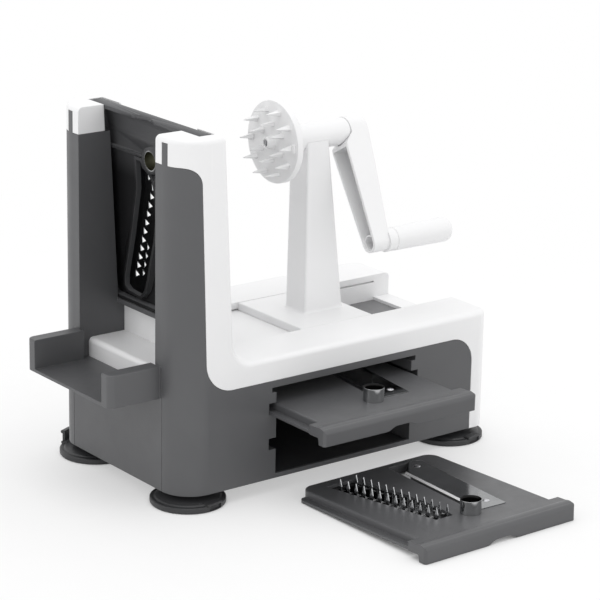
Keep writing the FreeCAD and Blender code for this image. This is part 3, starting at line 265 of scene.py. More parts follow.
def make_dust():
    """Sparse specks that settle on faces that look up."""
    tree, ins, outs = new_group(
        "dust", [("Scale", FLOAT, 420.0), ("Amount", FLOAT, 0.5)],
        [("Dust", FLOAT)])
    cells = add(tree, "ShaderNodeTexVoronoi", {"Vector": surface_point(tree),
                                               "Scale": ins["Scale"]})
    speck = spread(tree, cells.outputs["Distance"], 0.05, 0.16, 1.0, 0.0)
    lot = add(tree, "ShaderNodeSeparateColor", {"Color": cells.outputs["Color"]}).outputs[0]
    chosen = maths(tree, "GREATER_THAN", lot, 0.86)
    face = add(tree, "ShaderNodeNewGeometry").outputs["Normal"]
    up = add(tree, "ShaderNodeSeparateXYZ", {"Vector": face}).outputs["Z"]
    lie = spread(tree, up, 0.4, 0.95)
    return put_out(tree, outs, Dust=speck * chosen * (lie * ins["Amount"]))


def make_brushing():
    """Long fine scratches that run one way over rolled or ground steel."""
    tree, ins, outs = new_group(
        "brushing", [("Along", VECTOR, (0.0, 1.0, 0.0)), ("Fineness", FLOAT, 2600.0)],
        [("Height", FLOAT), ("Streak", FLOAT), ("Cloud", FLOAT)])
    place = surface_point(tree)
    lengthwise, across = along_and_across(tree, place, ins["Along"])
    drawn_out = vector(tree, "ADD", across, scaled(tree, lengthwise, 0.025))
    scratch = noise(tree, drawn_out, ins["Fineness"], 3.0, roughness=0.7)
    cloud = noise(tree, place, 70.0, 5.0, roughness=0.6)
    return put_out(tree, outs, Height=scratch, Streak=spread(tree, scratch, 0.35, 0.65),
                   Cloud=cloud)


def make_facing():
    """How squarely a face looks along a direction, 0 to 1."""
    tree, ins, outs = new_group(
        "facing", [("Along", VECTOR, (0.0, 0.0, 1.0)), ("From", FLOAT, 0.3), ("To", FLOAT, 0.6)],
        [("Facing", FLOAT)])
    face = add(tree, "ShaderNodeNewGeometry").outputs["True Normal"]
    square = spread(tree, dot(tree, face, ins["Along"]), ins["From"], ins["To"])
    return put_out(tree, outs, Facing=square)


def make_bore():
    """Inside of a tube: faces that look at the tube's own axis, 0 or 1."""
    tree, ins, outs = new_group(
        "bore", [("Centre", VECTOR, NOWHERE), ("Axis", VECTOR, (0.0, 0.0, 1.0))],
        [("Inside", FLOAT)])
    away = vector(tree, "SUBTRACT", surface_point(tree), ins["Centre"])
    spoke = along_and_across(tree, away, ins["Axis"])[1]
    face = add(tree, "ShaderNodeNewGeometry").outputs["True Normal"]
    outward = dot(tree, face, vector(tree, "NORMALIZE", spoke))
    return put_out(tree, outs, Inside=spread(tree, outward, -0.85, -0.5, 1.0, 0.0))


edge_wear_and_glint = make_edge_wear_and_glint()
facing = make_facing()
bore = make_bore()
mould_grain = make_mould_grain()
dust = make_dust()
brushing = make_brushing()

# ------------------------------------- finishes
PLASTIC_EDGE, STEEL_EDGE = 0.0006, 0.0003    # radius at which edges catch the light
# The first is how strongly plastic edges lighten: rubbed wear and a painted edge highlight.
PLASTIC_RUB_AND_GLINT, PLASTIC_RELIEF, STEEL_RELIEF = 3.0, 0.5, 0.35
MARK_SPAN, CLOUD_SPAN, HONED_SPAN = (0.3, 0.7), (0.35, 0.7), (0.975, 0.99)
SHADE_NEAR, SHADE_FAR = 0.018, 0.055   # from a plate's handle, where the painted shade on its underside sets in
# painted shade of a plate's underside, near black
UNDERSIDE_SHADE = (0.012, 0.012, 0.013)
FLUFF = (0.5, 0.49, 0.47)
# painted dark reflection on the faces of a comb's sheet
COMB_SHEET_DARK_REFLECTION = (0.03, 0.03, 0.032)
# the blade's satin ground edge, painted near white as its highlight
HONED_EDGE_HIGHLIGHT = (0.82, 0.82, 0.83)
# painted shade inside the coring rings: olive tinted in the tower, near black elsewhere
TOWER_BORE_SHADE, BORE_SHADE = (0.13, 0.13, 0.09), (0.02, 0.02, 0.02)


def new_finish(name, shader_kind="ShaderNodeBsdfPrincipled"):
    finish = bpy.data.materials.new(name)
    finish.use_nodes = True
    tree = finish.node_tree
    tree.nodes.clear()
    out = add(tree, "ShaderNodeOutputMaterial")
    shader = add(tree, shader_kind)
    tree.links.new(shader.outputs[0], out.inputs["Surface"])
    return finish, tree, shader


def shade(tree, factor, a, b):
    """Mix two colours by a mask."""
    node = add(tree, "ShaderNodeMix", {"Factor": factor}, data_type="RGBA")
    for socket, colour in zip((node.inputs[6], node.inputs[7]), (a, b)):
        feed(tree, socket, (*colour, 1.0) if isinstance(colour, tuple) else colour)
    return node.outputs[2]


def looks_along(tree, along, low=0.3, high=0.6):
    """Mask of the faces that look along a direction."""
    return use(tree, facing, Along=along, From=low, To=high)["Facing"]


def lay_surface(tree, shader, tone, gloss, height, normal, strength, depth):
    """Feed a finish's colour, roughness and relief."""
    relief = add(tree, "ShaderNodeBump", {"Height": height, "Normal": normal,
                                          "Strength": strength, "Distance": depth})
    for label, value in (("Base Color", tone), ("Roughness", gloss),
                         ("Normal", relief.outputs[0])):
        feed(tree, shader.inputs[label], value)


def painted_underside_shade(tree, seat):
    """Mask of the painted shade on a plate's underside, which grows from its handle on."""
    start = vector(tree, "SUBTRACT", surface_point(tree), tuple(seat.to_translation()))
    deeper = spread(tree, dot(tree, start, in_plate(seat, 0, 1, 0)), SHADE_NEAR, SHADE_FAR, 0.1, 1.0)
    return looks_along(tree, in_plate(seat, 0, 0, -1)) * deeper


def moulded(name, colour, deep, wear_and_edge_glint, rough, fineness, depth, specks=0.0, specular=0.5,
            seat=None):
    """Injection-moulded plastic: colour, its darker flow shade and the lighter colour of its edges,
    partly rubbed wear and partly a painted edge highlight.

    Given a plate's seat, the plate's underside takes a painted shade, near black, darker away from
    its handle.
    """
    finish, tree, shader = new_finish(name)
    edge = use(tree, edge_wear_and_glint, Radius=PLASTIC_EDGE, Gain=PLASTIC_RUB_AND_GLINT)
    grain = use(tree, mould_grain, Fineness=fineness)
    tone = shade(tree, spread(tree, grain["Flow"], *MARK_SPAN), colour, deep)
    # lighter edges: rubbed wear and a painted edge highlight
    tone = shade(tree, edge["Edge"] * 0.5, tone, wear_and_edge_glint)
    if seat is not None:
        # painted shade on the plate's underside, darker away from its handle
        tone = shade(tree, painted_underside_shade(tree, seat), tone, UNDERSIDE_SHADE)
    if specks:
        tone = shade(tree, use(tree, dust, Amount=specks)["Dust"], tone, FLUFF)
    gloss = spread(tree, grain["Handling"], *MARK_SPAN, rough - 0.05, rough + 0.06)
    gloss = maths(tree, "MULTIPLY_ADD", edge["Edge"], -0.08, gloss)
    shader.inputs["Specular IOR Level"].default_value = specular
    lay_surface(tree, shader, tone, gloss, grain["Height"], edge["Normal"], PLASTIC_RELIEF, depth)
    return finish


def bare_metal(name, colour, dull, rough, along, fineness=2600.0, depth=0.00001, streak=0.12,
               cloudy=0.08, dark_reflection_along=None, ground=None, tube=None, tube_shade=BORE_SHADE):
    """Steel or chrome with brushing along one direction and cloudy handling marks.

    Faces that look either way along the dark reflection's direction take a painted dark reflection,
    near black; those that look along the ground direction are a satin sharpened edge painted bright
    as its highlight; and those inside a tube, given by its centre and axis, take a painted shade,
    dull and dark.
    """
    finish, tree, shader = new_finish(name)
    edge = use(tree, edge_wear_and_glint, Radius=STEEL_EDGE)
    lines = use(tree, brushing, Along=along, Fineness=fineness)
    tone = shade(tree, spread(tree, lines["Cloud"], *CLOUD_SPAN), colour, dull)
    # brighter edges on metal: wear and a painted edge highlight
    tone = shade(tree, edge["Edge"] * 0.4, tone, tuple(min(1.0, c * 1.15) for c in colour))
    # painted dark reflection on both faces of the comb's sheet
    if dark_reflection_along:
        back = tuple(-value for value in dark_reflection_along)
        sheet = maths(tree, "MAXIMUM", looks_along(tree, dark_reflection_along), looks_along(tree, back))
        tone = shade(tree, sheet, tone, COMB_SHEET_DARK_REFLECTION)
    gloss = maths(tree, "MULTIPLY_ADD", lines["Streak"], streak, rough)
    gloss = maths(tree, "MULTIPLY_ADD", lines["Cloud"], cloudy, gloss)
    shader.inputs["Metallic"].default_value = 1.0
    if ground:
        # satin ground edge: a real grind, painted near white and barely metallic as its highlight
        honed_highlight = looks_along(tree, ground, *HONED_SPAN)
        tone = shade(tree, honed_highlight, tone, HONED_EDGE_HIGHLIGHT)
        gloss = maths(tree, "MULTIPLY_ADD", honed_highlight, 0.25, gloss)
        feed(tree, shader.inputs["Metallic"], maths(tree, "MULTIPLY_ADD", honed_highlight, -0.8, 1.0))
    if tube:
        # painted shade inside the tube, dull and dark
        inner = use(tree, bore, Centre=tube[0], Axis=tube[1])["Inside"]
        tone = shade(tree, inner, tone, tube_shade)
        gloss = maths(tree, "MULTIPLY_ADD", inner, 0.3, gloss)
    lay_surface(tree, shader, tone, gloss, lines["Height"], edge["Normal"], STEEL_RELIEF, depth)
    return finish


# Each plastic: colour, flow shade, edges (rubbed wear and a painted edge highlight), roughness,
# fineness and depth of grain, dust.
PLASTICS = {
    "white_plastic": ((0.85, 0.85, 0.855), (0.83, 0.83, 0.835), (0.88, 0.88, 0.88),
                      0.34, 1500.0, 0.00002),
    "grey_plastic": ((0.098, 0.099, 0.103), (0.088, 0.089, 0.093), (0.25, 0.25, 0.257),
                     0.42, 1400.0, 0.00003, 0.22),
    # paler copy of the grey plastic: painted light on the deck pocket's floor
    "pocket_floor_lit_grey": ((0.16, 0.16, 0.165), (0.145, 0.145, 0.15), (0.2, 0.2, 0.205),
                             0.42, 1400.0, 0.00003, 0.22),
    "dark_grey_plastic": ((0.045, 0.045, 0.048), (0.038, 0.038, 0.04), (0.08, 0.08, 0.08),
                          0.5, 1200.0, 0.00003, 0.2),
    "stud_plastic": ((0.06, 0.06, 0.062), (0.05, 0.05, 0.052), (0.1, 0.1, 0.1),
                     0.45, 1600.0, 0.00002),
    "suction_cup_rubber": ((0.036, 0.037, 0.039), (0.03, 0.03, 0.032), (0.06, 0.06, 0.06),
                           0.46, 900.0, 0.00003, 0.5),
    "bush_plastic": ((0.42, 0.42, 0.4), (0.38, 0.38, 0.36), (0.5, 0.5, 0.48),
                     0.4, 1600.0, 0.00002)}
plastic = {name: moulded(name, *row) for name, row in PLASTICS.items()}
pin_steel = bare_metal("pin_steel", (0.58, 0.58, 0.6), (0.46, 0.46, 0.47), 0.28, (1.0, 0.0, 0.0))
rivet_steel = bare_metal("rivet_steel", (0.66, 0.66, 0.68), (0.52, 0.52, 0.54), 0.22,
                         (0.0, 0.0, 1.0), 2200.0)

slot_finish = {"white": plastic["white_plastic"], "grey": plastic["grey_plastic"],
               "dark_grey": plastic["dark_grey_plastic"], "rubber": plastic["suction_cup_rubber"],
               "stud_plastic": plastic["stud_plastic"], "bush_plastic": plastic["bush_plastic"],
               "steel": pin_steel}
node_finish = {}
for kind, place, seat, body in PLATES:
    up, blade_run = in_plate(seat, 0, 0, 1), in_plate(seat, 0.12, 1.0, 0.0)
    node_finish[kind + "_plate"] = moulded(
        place + "_plate_plastic", (0.092, 0.093, 0.097), (0.082, 0.083, 0.087),
        (0.23, 0.23, 0.237), 0.38, 1400.0, 0.00003, specks=0.22,
        specular=0.3 if place == "tower" else 0.5, seat=seat)
    # blade colour far darker than bare steel: a painted dark reflection
    node_finish[kind + "_blade"] = bare_metal(
        place + "_blade_steel", (0.30, 0.305, 0.31), (0.24, 0.245, 0.25), 0.07, blade_run,
        depth=0.000002, streak=0.03, cloudy=0.03,
        ground=ground_edge(seat) if place == "loose" else None)
    if kind + "_teeth" in nodes:
        node_finish[kind + "_teeth"] = bare_metal(
            place + "_comb_steel", (0.72, 0.73, 0.74), (0.62, 0.63, 0.64), 0.12, blade_run,
            depth=0.000003, streak=0.05, cloudy=0.04, dark_reflection_along=up)
    # ring chrome darker than bare chrome: a painted dark reflection
    node_finish[kind + "_coring_tube"] = bare_metal(
        place + "_ring_chrome", (0.45, 0.455, 0.46), (0.38, 0.385, 0.39), 0.07, up, 1800.0,
        0.000004, streak=0.04, tube=(tuple(seat @ (Vector(TUBE_CENTRE) * MM)), up),
        tube_shade=TOWER_BORE_SHADE if place == "tower" else BORE_SHADE)
for node_name, node in nodes.items():
    for slot in node.material_slots:
        slot_name = slot.material.name.split(".")[0]
        slot.material = node_finish.get(node_name) or slot_finish[slot_name]


# ------------------------------------- making pieces
MERGE = 0.000002                     # metres between points that become one
CREASE = 30.0                        # degrees, past which an edge stays sharp


@contextlib.contextmanager
def worked_on(mesh):
    """Open a mesh for work on its points and faces, and write it back afterwards."""
    work = bmesh.new()
    work.from_mesh(mesh)
    yield work
    work.to_mesh(mesh)
    work.free()


def new_object(name, data):
    piece = bpy.data.objects.new(name, data)
    bpy.context.scene.collection.objects.link(piece)
    return piece


def shaped_mesh(piece):
    """The plain mesh that a piece's modifiers make."""
    graph = bpy.context.evaluated_depsgraph_get()
    return bpy.data.meshes.new_from_object(piece.evaluated_get(graph), depsgraph=graph)


def settle(piece, seat, body, slot_name, replaced, crease=CREASE):
    """Bring a piece's mesh from its own axes to its place, smooth it, and let it ride."""
    piece.data.transform(seat)
    piece.data.shade_smooth()
    piece.data.set_sharp_from_angle(angle=math.radians(crease))
    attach(piece, body)
    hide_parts(*replaced)


def grow(name, rule, sizes, seat, body, slot_name, replaced, base=None):
    """Run a rule once, keep its result as a plain mesh in its place, and let it ride."""
    piece = new_object(name, base or bpy.data.meshes.new(name))
    shaping = piece.modifiers.new("shape", "NODES")
    shaping.node_group = rule
    for item in rule.interface.items_tree:
        if item.item_type == "SOCKET" and item.in_out == "INPUT" and item.name in sizes:
            shaping[item.identifier] = sizes[item.name]
    made = shaped_mesh(piece)
    piece.modifiers.remove(shaping)
    piece.data = made
    with worked_on(made) as work:
        bmesh.ops.remove_doubles(work, verts=work.verts, dist=MERGE)
        bmesh.ops.recalc_face_normals(work, faces=work.faces)
    settle(piece, seat, body, slot_name, replaced)


def dress(name, mesh, finish, *riding, **smoothing):
    """Give a form its finish, and settle it as a piece."""
    mesh.materials.clear()
    mesh.materials.append(finish)
    for face in mesh.polygons:
        face.material_index = 0
    settle(new_object(name, mesh), *riding, **smoothing)


def slab(name, points, low, high):
    """Upright prism on an outline, in millimetres."""
    mesh = bpy.data.meshes.new(name)
    with worked_on(mesh) as work:
        ring = [work.verts.new(Vector((u, v, low)) * MM) for u, v in points]
        risen = bmesh.ops.extrude_face_region(work, geom=[work.faces.new(ring)])["geom"]
        top = [item for item in risen if isinstance(item, bmesh.types.BMVert)]
        bmesh.ops.translate(work, verts=top, vec=Vector((0, 0, high - low)) * MM)
        bmesh.ops.recalc_face_normals(work, faces=work.faces)
    return mesh


def round_bar(radius, z, low, high, sides=56):
    """Round prism about the arm's pin or shaft, in the arm's own axes."""
    angles = [math.tau * i / sides for i in range(sides)]
    circle = [(radius * math.cos(a), z + radius * math.sin(a)) for a in angles]
    return slab("round_bar", circle, low, high)


def merged_copy(node_name, seat):
    """A node's mesh with its loose triangles joined, brought back to plate axes."""
    mesh = nodes[node_name].data.copy()
    mesh.transform(seat.inverted())
    with worked_on(mesh) as work:
        bmesh.ops.remove_doubles(work, verts=work.verts, dist=MERGE)
    mesh.materials.clear()
    return mesh


def carve(name, mesh, steps):
    """Add and take away prisms from a mesh, one after another."""
    piece = new_object(name, mesh)
    helpers = []
    for how, prism in steps:
        helper = new_object(name + "_tool", prism)
        helpers.append(helper)
        change = piece.modifiers.new("step", "BOOLEAN")
        change.operation = how
        change.solver = "EXACT"
        change.object = helper
    made = shaped_mesh(piece)
    for helper in (*helpers, piece):
        bpy.data.objects.remove(helper)
    return made


# ------------------------------------- steps of a rule
def new_rule(name, sizes):
    return new_group(name, sizes, [("Geometry", GEOMETRY)], "GeometryNodeTree")


def close_rule(tree, outs, geometry, finish):
    solid = add(tree, "GeometryNodeRealizeInstances", {"Geometry": geometry})
    dressed = add(tree, "GeometryNodeSetMaterial", {"Geometry": solid.outputs[0],
                                                    "Material": finish})
    return put_out(tree, outs, Geometry=dressed.outputs[0])


def pick(tree, index, choices):
    """The value of a list of sizes at an index."""
    node = tree.nodes.new("GeometryNodeIndexSwitch")
    node.data_type = "FLOAT"
    while len(node.index_switch_items) < len(choices):
        node.index_switch_items.new()
    tree.links.new(index, node.inputs[0])
    for i, value in enumerate(choices):
        feed(tree, node.inputs[i + 1], value)
    return Number(tree, node.outputs[0])


def count_up(tree):
    """The number of each point, from 0."""
    return Number(tree, add(tree, "GeometryNodeInputIndex").outputs[0])


def point_position(tree):
    return add(tree, "GeometryNodeInputPosition").outputs[0]


def bent(tree, geometry, position):
    values = {"Geometry": geometry, "Position": position}
    return add(tree, "GeometryNodeSetPosition", values).outputs[0]


def grid(tree, size_x, size_y, count_x, count_y):
    return add(tree, "GeometryNodeMeshGrid", {"Size X": size_x, "Size Y": size_y,
                                              "Vertices X": count_x,
                                              "Vertices Y": count_y}).outputs["Mesh"]


def turned(tree, profile, sides):
    """Surface of revolution about Z through (radius, height) points, closed along its seam."""
    around = grid(tree, 1.0, 1.0, len(profile), sides + 1)
    index = count_up(tree)
    ring = maths(tree, "FLOOR", (index + 0.5) / float(sides + 1))
    angle = maths(tree, "MODULO", index, float(sides + 1)) * (math.tau / sides)
    whole = add(tree, "FunctionNodeFloatToInt", {0: ring}, rounding_mode="ROUND").outputs[0]
    radius = pick(tree, whole, [p[0] for p in profile])
    height = pick(tree, whole, [p[1] for p in profile])
    spot = point(tree, radius * maths(tree, "COSINE", angle), radius * maths(tree, "SINE", angle),
                 height)
    values = {"Geometry": bent(tree, around, spot), "Distance": 0.000001}
    return add(tree, "GeometryNodeMergeByDistance", values).outputs[0]


def join(tree, *parts):
    node = tree.nodes.new("GeometryNodeJoinGeometry")
    for part in parts:
        tree.links.new(part, node.inputs[0])
    return node.outputs[0]


def laid(tree, geometry, move=NOWHERE, turn=NOWHERE, size=(1.0, 1.0, 1.0)):
    """Geometry scaled, then turned, then moved."""
    return add(tree, "GeometryNodeTransform", {"Geometry": geometry, "Translation": move,
                                               "Rotation": turn, "Scale": size}).outputs[0]


def block(tree, sides, middle=NOWHERE, counts=(2, 2, 2)):
    cube = add(tree, "GeometryNodeMeshCube", {"Size": point(tree, *sides), "Vertices X": counts[0],
                                              "Vertices Y": counts[1], "Vertices Z": counts[2]})
    return laid(tree, cube.outputs["Mesh"], middle)


def row_of_points(tree, count, first, last):
    return add(tree, "GeometryNodeMeshLine", {"Count": count, "Start Location": first,
                                              "Offset": last}, mode="END_POINTS").outputs[0]


def on_points(tree, points, shape, turn=NOWHERE):
    """A copy of a shape on each point."""
    return add(tree, "GeometryNodeInstanceOnPoints", {"Points": points, "Instance": shape,
                                                      "Rotation": turn}).outputs[0]


def cut(tree, solid, *tools):
    node = tree.nodes.new("GeometryNodeMeshBoolean")
    node.operation = "DIFFERENCE"
    node.solver = "EXACT"
    tree.links.new(solid, node.inputs[0])
    for tool in tools:
        tree.links.new(tool, node.inputs[1])
    return node.outputs[0]


# ------------------------------------- rivets
RIVET_DOME = ((0.0, 0.82), (0.16, 0.84), (0.26, 0.98), (0.5, 0.95), (0.74, 0.78), (0.93, 0.42),
              (1.0, 0.12))           # shares of the head's radius and height


def rivet_rule():
    """Peened rivets in a row: domed head with a rolled edge and a shallow punch mark."""
    tree, ins, outs = new_rule("rivet_row", [
        ("First", VECTOR, NOWHERE), ("Last", VECTOR, NOWHERE), ("Rivets", COUNT, 2),
        ("Head radius", FLOAT, 0.0027), ("Head height", FLOAT, 0.0006),
        ("Tail drop", FLOAT, 0.0029), ("Finish", FINISH, None)])
    head, tall = ins["Head radius"], ins["Head height"]
    shank, low = head * 0.62, ins["Tail drop"] * -1.0
    profile = [(head * across, tall * up) for across, up in RIVET_DOME]
    profile += [(head * 0.99, 0.0), (shank, 0.0), (shank, low), (head, low),
                (head * 0.98, low - tall), (0.0, low - tall)]
    spots = on_points(tree, row_of_points(tree, ins["Rivets"], ins["First"], ins["Last"]),
                      turned(tree, profile, 24))
    return close_rule(tree, outs, spots, ins["Finish"])


rivets = rivet_rule()
for kind, place, seat, body in PLATES:
    grow(kind + "_rivet_heads", rivets,
         {"First": (0.0254, 0.0455, 0.0085), "Last": (0.035, 0.1355, 0.0085),
          "Finish": rivet_steel}, seat, body, "steel", [kind + "_rivets"])


# ------------------------------------- fine plate and its comb, in plate millimetres
FINE_OPENING = ((-18.3, 38.5), (-18.5, 60.9), (-29.5, 100.7), (-40.5, 135.2), (-40.9, 141.7),
                (-37.0, 144.2), (-22.5, 145.4), (-16.5, 139.5), (-13.0, 131.0), (-8.0, 115.0),
                (-1.5, 97.4), (2.2, 80.0), (2.6, 62.0), (0.5, 52.0), (-4.0, 46.8),
                (-12.0, 42.5), (-14.0, 38.5))
FRAME_WALL, FRAME_LOW, FRAME_HIGH = 3.4, 0.6, 7.9
SHEET_TOP, SHEET, SHEET_EDGE = 5.55, 0.8, 1.0
UNDERCUT, UNDERCUT_TOP = 1.2, 5.6
LOW_PAST, HIGH_PAST = -5.0, 16.0     # well past a plate's two sides
HOLE_DEPTH = 0.004                   # metres


def widened(points, distance):
    """A closed outline, given either way round, moved outwards by a distance."""
    count = len(points)
    area = sum(points[i - 1][0] * points[i][1] - points[i][0] * points[i - 1][1]
               for i in range(count))
    out = -1.0 if area > 0 else 1.0
    moved = []
    for i in range(count):
        before, here, after = (Vector(points[(i + k) % count]) for k in (-1, 0, 1))
        first, second = (here - before).normalized(), (after - here).normalized()
        n1, n2 = Vector((-first.y, first.x)) * out, Vector((-second.y, second.x)) * out
        corner = (n1 + n2) / max(0.5, 1.0 + n1.dot(n2))
        moved.append(here + corner * distance)
    return moved


def on_sheet(u, v):
    """A spot on top of the comb's sheet, from millimetres to metres."""
    return (u * MM, v * MM, SHEET_TOP * MM)


def three_sided(tree, reach, foot, depth, move, turn=NOWHERE):
    """Prism on a triangle that reaches along X from a foot of a given width."""
    equal = add(tree, "GeometryNodeMeshCone", {"Vertices": 3, "Radius Top": 1.0,
                                               "Radius Bottom": 1.0, "Depth": depth})
    size = point(tree, reach / 1.5, foot / math.sqrt(3.0), 1.0)
    return laid(tree, equal.outputs["Mesh"], move, turn, size)


def comb_tooth(tree, ins, reach):
    """Upright tooth on the edge of its hole that is nearer the handle."""
    half, tall, sheet = ins["Half foot"], ins["Tooth height"], ins["Sheet"]
    edge = maths(tree, "SQRT", reach * reach + half * half)
    leaf = three_sided(tree, tall, edge, sheet, point(tree, z=tall / 3.0),
                       (0.0, -math.pi / 2.0, 0.0))
    bend = maths(tree, "ARCTAN2", reach, half) * -1.0
    return laid(tree, leaf, point(tree, reach * 0.5, half * -0.5, sheet * -0.5),
                point(tree, z=bend))


def comb_rule():
    """Rows of small teeth, each cut and bent up from the upper edge of its three-sided hole."""
    tree, ins, outs = new_rule("tooth_rows", [
        ("Geometry", GEOMETRY, None), ("Left first", VECTOR, NOWHERE),
        ("Left last", VECTOR, NOWHERE), ("Left teeth", COUNT, 11),
        ("Right first", VECTOR, NOWHERE), ("Right last", VECTOR, NOWHERE),
        ("Right teeth", COUNT, 4), ("Single", VECTOR, NOWHERE), ("Half foot", FLOAT, 0.00275),
        ("Reach", FLOAT, 0.0053), ("Narrow reach", FLOAT, 0.0026),
        ("Tooth height", FLOAT, 0.0046), ("Sheet", FLOAT, 0.0008), ("Finish", FINISH, None)])
    holes, teeth = [], []
    for count, first, last, reach in (
            (ins["Left teeth"], ins["Left first"], ins["Left last"], ins["Reach"]),
            (ins["Right teeth"], ins["Right first"], ins["Right last"], ins["Narrow reach"]),
            (1, ins["Single"], ins["Single"], ins["Reach"])):
        spots = row_of_points(tree, count, first, last)
        hole = three_sided(tree, reach, ins["Half foot"] * 2.0, HOLE_DEPTH,
                           point(tree, reach / 3.0, 0.0, -0.5 * HOLE_DEPTH))
        row = on_points(tree, spots, hole)
        holes.append(add(tree, "GeometryNodeRealizeInstances", {"Geometry": row}).outputs[0])
        teeth.append(on_points(tree, spots, comb_tooth(tree, ins, reach)))
    sheet = cut(tree, ins["Geometry"], *holes)
    return close_rule(tree, outs, join(tree, sheet, *teeth), ins["Finish"])


fine_frame = carve("fine_plate_form", merged_copy("slicer_plate", stored_seat), [
    ("UNION", slab("fine_wall", widened(FINE_OPENING, FRAME_WALL), FRAME_LOW, FRAME_HIGH)),
    ("DIFFERENCE", slab("fine_hole", FINE_OPENING, LOW_PAST, HIGH_PAST)),
    ("DIFFERENCE", slab("fine_undercut", widened(FINE_OPENING, UNDERCUT), LOW_PAST,
                        UNDERCUT_TOP))])
dress("fine_plate_frame", fine_frame, node_finish["fine_plate"], tower_seat, "tower_plate",
      "grey", ["fine_plate"])
grow("fine_comb", comb_rule(),
     {"Left first": on_sheet(-4.9, 56.7), "Left last": on_sheet(-32.7, 131.2),
      "Right first": on_sheet(-14.9, 105.9), "Right last": on_sheet(-22.8, 128.4),
      "Single": on_sheet(-9.5, 49.2), "Sheet": SHEET * MM, "Finish": node_finish["fine_teeth"]},
     tower_seat, "tower_plate", "steel", ["fine_teeth"],
     base=slab("fine_comb_sheet", widened(FINE_OPENING, SHEET_EDGE), SHEET_TOP - SHEET,
               SHEET_TOP))


# ------------------------------------- crank arm
# The crank arm hangs from the shaft in its own axes: its sides run off the head's full width, its
# upper end rises towards the hub, and a tube round the grip's pin reaches the channel's mouth.
# Heights are from the crank's axis, and reaches along the deck from the housing's tower end.
ARM_ANGLE = -29.9                    # degrees
HEAD_RADIUS, FOOT_RADIUS, CRANK_REACH = 11.4, 7.9, 92.3
ARM_LEFT, HEAD_START, HEAD_END, ARM_END = 205.0, 213.2, 231.0, 221.5
ARM_WALL, CHANNEL_TOP, CHANNEL_ROUND = 2.3, -14.6, 0.4
TAPER_TOP, CLIMB_TOP, CLIMB = 6.0, 5.0, 7.5
MOUTH_BREAK, EDGE_ROUND, EDGE_STEPS = 0.3, 2.6, 5
EDGE_SOFT, EDGE_LOSS, EDGE_RUN = 4.2, 2.4, 30.0
LONG_SIDE, SIDE_STEPS = 20.0, 24
BEHIND = 200.0                       # well past the arm's open side
# Round parts: radius, height of the centre, start and end.
HUB_BORE, SHAFT_BORE = (11.3, 0.0, BEHIND, HEAD_START), (4.0, 0.0, BEHIND, 225.0)
GRIP_BOSS, PIN_TUBE = (9.3, -CRANK_REACH, 220.2, 228.0), (6.4, -CRANK_REACH, 206.3, 220.5)
COLLAR_BORE, PIN_BORE = (5.1, -CRANK_REACH, BEHIND, 219.2), (3.0, -CRANK_REACH, BEHIND, 230.0)


def held(share):
    return max(0.0, min(1.0, share))


def arm_right(z):
    """Outer face of the arm: upright on the head, then sloping in towards the grip."""
    return HEAD_END + (ARM_END - HEAD_END) * held((-TAPER_TOP - z) / (CRANK_REACH - TAPER_TOP))


def arm_left(z):
    """Open side of the arm, which climbs from the channel's mouth to the head."""
    return HEAD_START + (ARM_LEFT - HEAD_START) * held((-CLIMB_TOP - z) / CLIMB)


def tapered_outline(inset, top=None):
    """One side of the arm's outline, from the top down, drawn in by an inset."""
    lean = math.acos((HEAD_RADIUS - FOOT_RADIUS) / CRANK_REACH)
    points = []
    for centre, radius, start, end, count in (
            (0.0, HEAD_RADIUS, 0.0, math.pi - lean, 22),
            (-CRANK_REACH, FOOT_RADIUS, math.pi - lean, math.pi, 16)):
        for i in range(count + 1):
            a, r = start + (end - start) * i / count, radius - inset
            points.append((math.sin(a) * r, centre + math.cos(a) * r))
    full = []
    for here, following in zip(points, points[1:]):
        steps = SIDE_STEPS if math.dist(here, following) > LONG_SIDE else 1
        full += [(here[0] + (following[0] - here[0]) * k / steps,
                  here[1] + (following[1] - here[1]) * k / steps) for k in range(steps)]
    full.append(points[-1])
    if top is not None:
        low = [corner for corner in full if corner[1] < top - CHANNEL_ROUND]
        half = low[0][0]
        full = [(0.0, top), (half - 2 * CHANNEL_ROUND, top), (half, top - CHANNEL_ROUND)] + low
    return full


def new_face(work, *corners):
    """A face on the corners that differ."""
    work.faces.new(list(dict.fromkeys(corners)))


def arm_form(rings):
    """Closed form from rings of (outline, x of each point), the first and last one capped."""
    mesh = bpy.data.meshes.new("arm_form")
    with worked_on(mesh) as work:
        made = []
        for outline, reach in rings:
            ends = (0, len(outline) - 1)
            near = [work.verts.new(Vector((y, z, reach(z))) * MM) for y, z in outline]
            far = [near[k] if k in ends else work.verts.new(Vector((-y, z, reach(z))) * MM)
                   for k, (y, z) in enumerate(outline)]
            made.append((near, far))
        for (near, far), (near_next, far_next) in zip(made, made[1:]):
            for k in range(len(near) - 1):
                new_face(work, near[k], near[k + 1], near_next[k + 1], near_next[k])
                new_face(work, far[k + 1], far[k], far_next[k], far_next[k + 1])
        for near, far in (made[0], made[-1]):
            for k in range(len(near) - 1):
                new_face(work, near[k], near[k + 1], far[k + 1], far[k])
        bmesh.ops.recalc_face_normals(work, faces=work.faces)
    return mesh


def rounded_rings():
    """The arm's sides and its softly rounded outer edge."""
    rings = [(tapered_outline(MOUTH_BREAK), arm_left),
             (tapered_outline(0.0), lambda z: arm_left(z) + MOUTH_BREAK)]
    for i in range(EDGE_STEPS + 1):
        a = 0.5 * math.pi * i / EDGE_STEPS

        def reach(z, a=a):
            soft = EDGE_SOFT - EDGE_LOSS * held(-z / EDGE_RUN)
            return arm_right(z) - soft * (1.0 - math.sin(a))

        rings.append((tapered_outline(EDGE_ROUND * (1.0 - math.cos(a))), reach))
    return rings


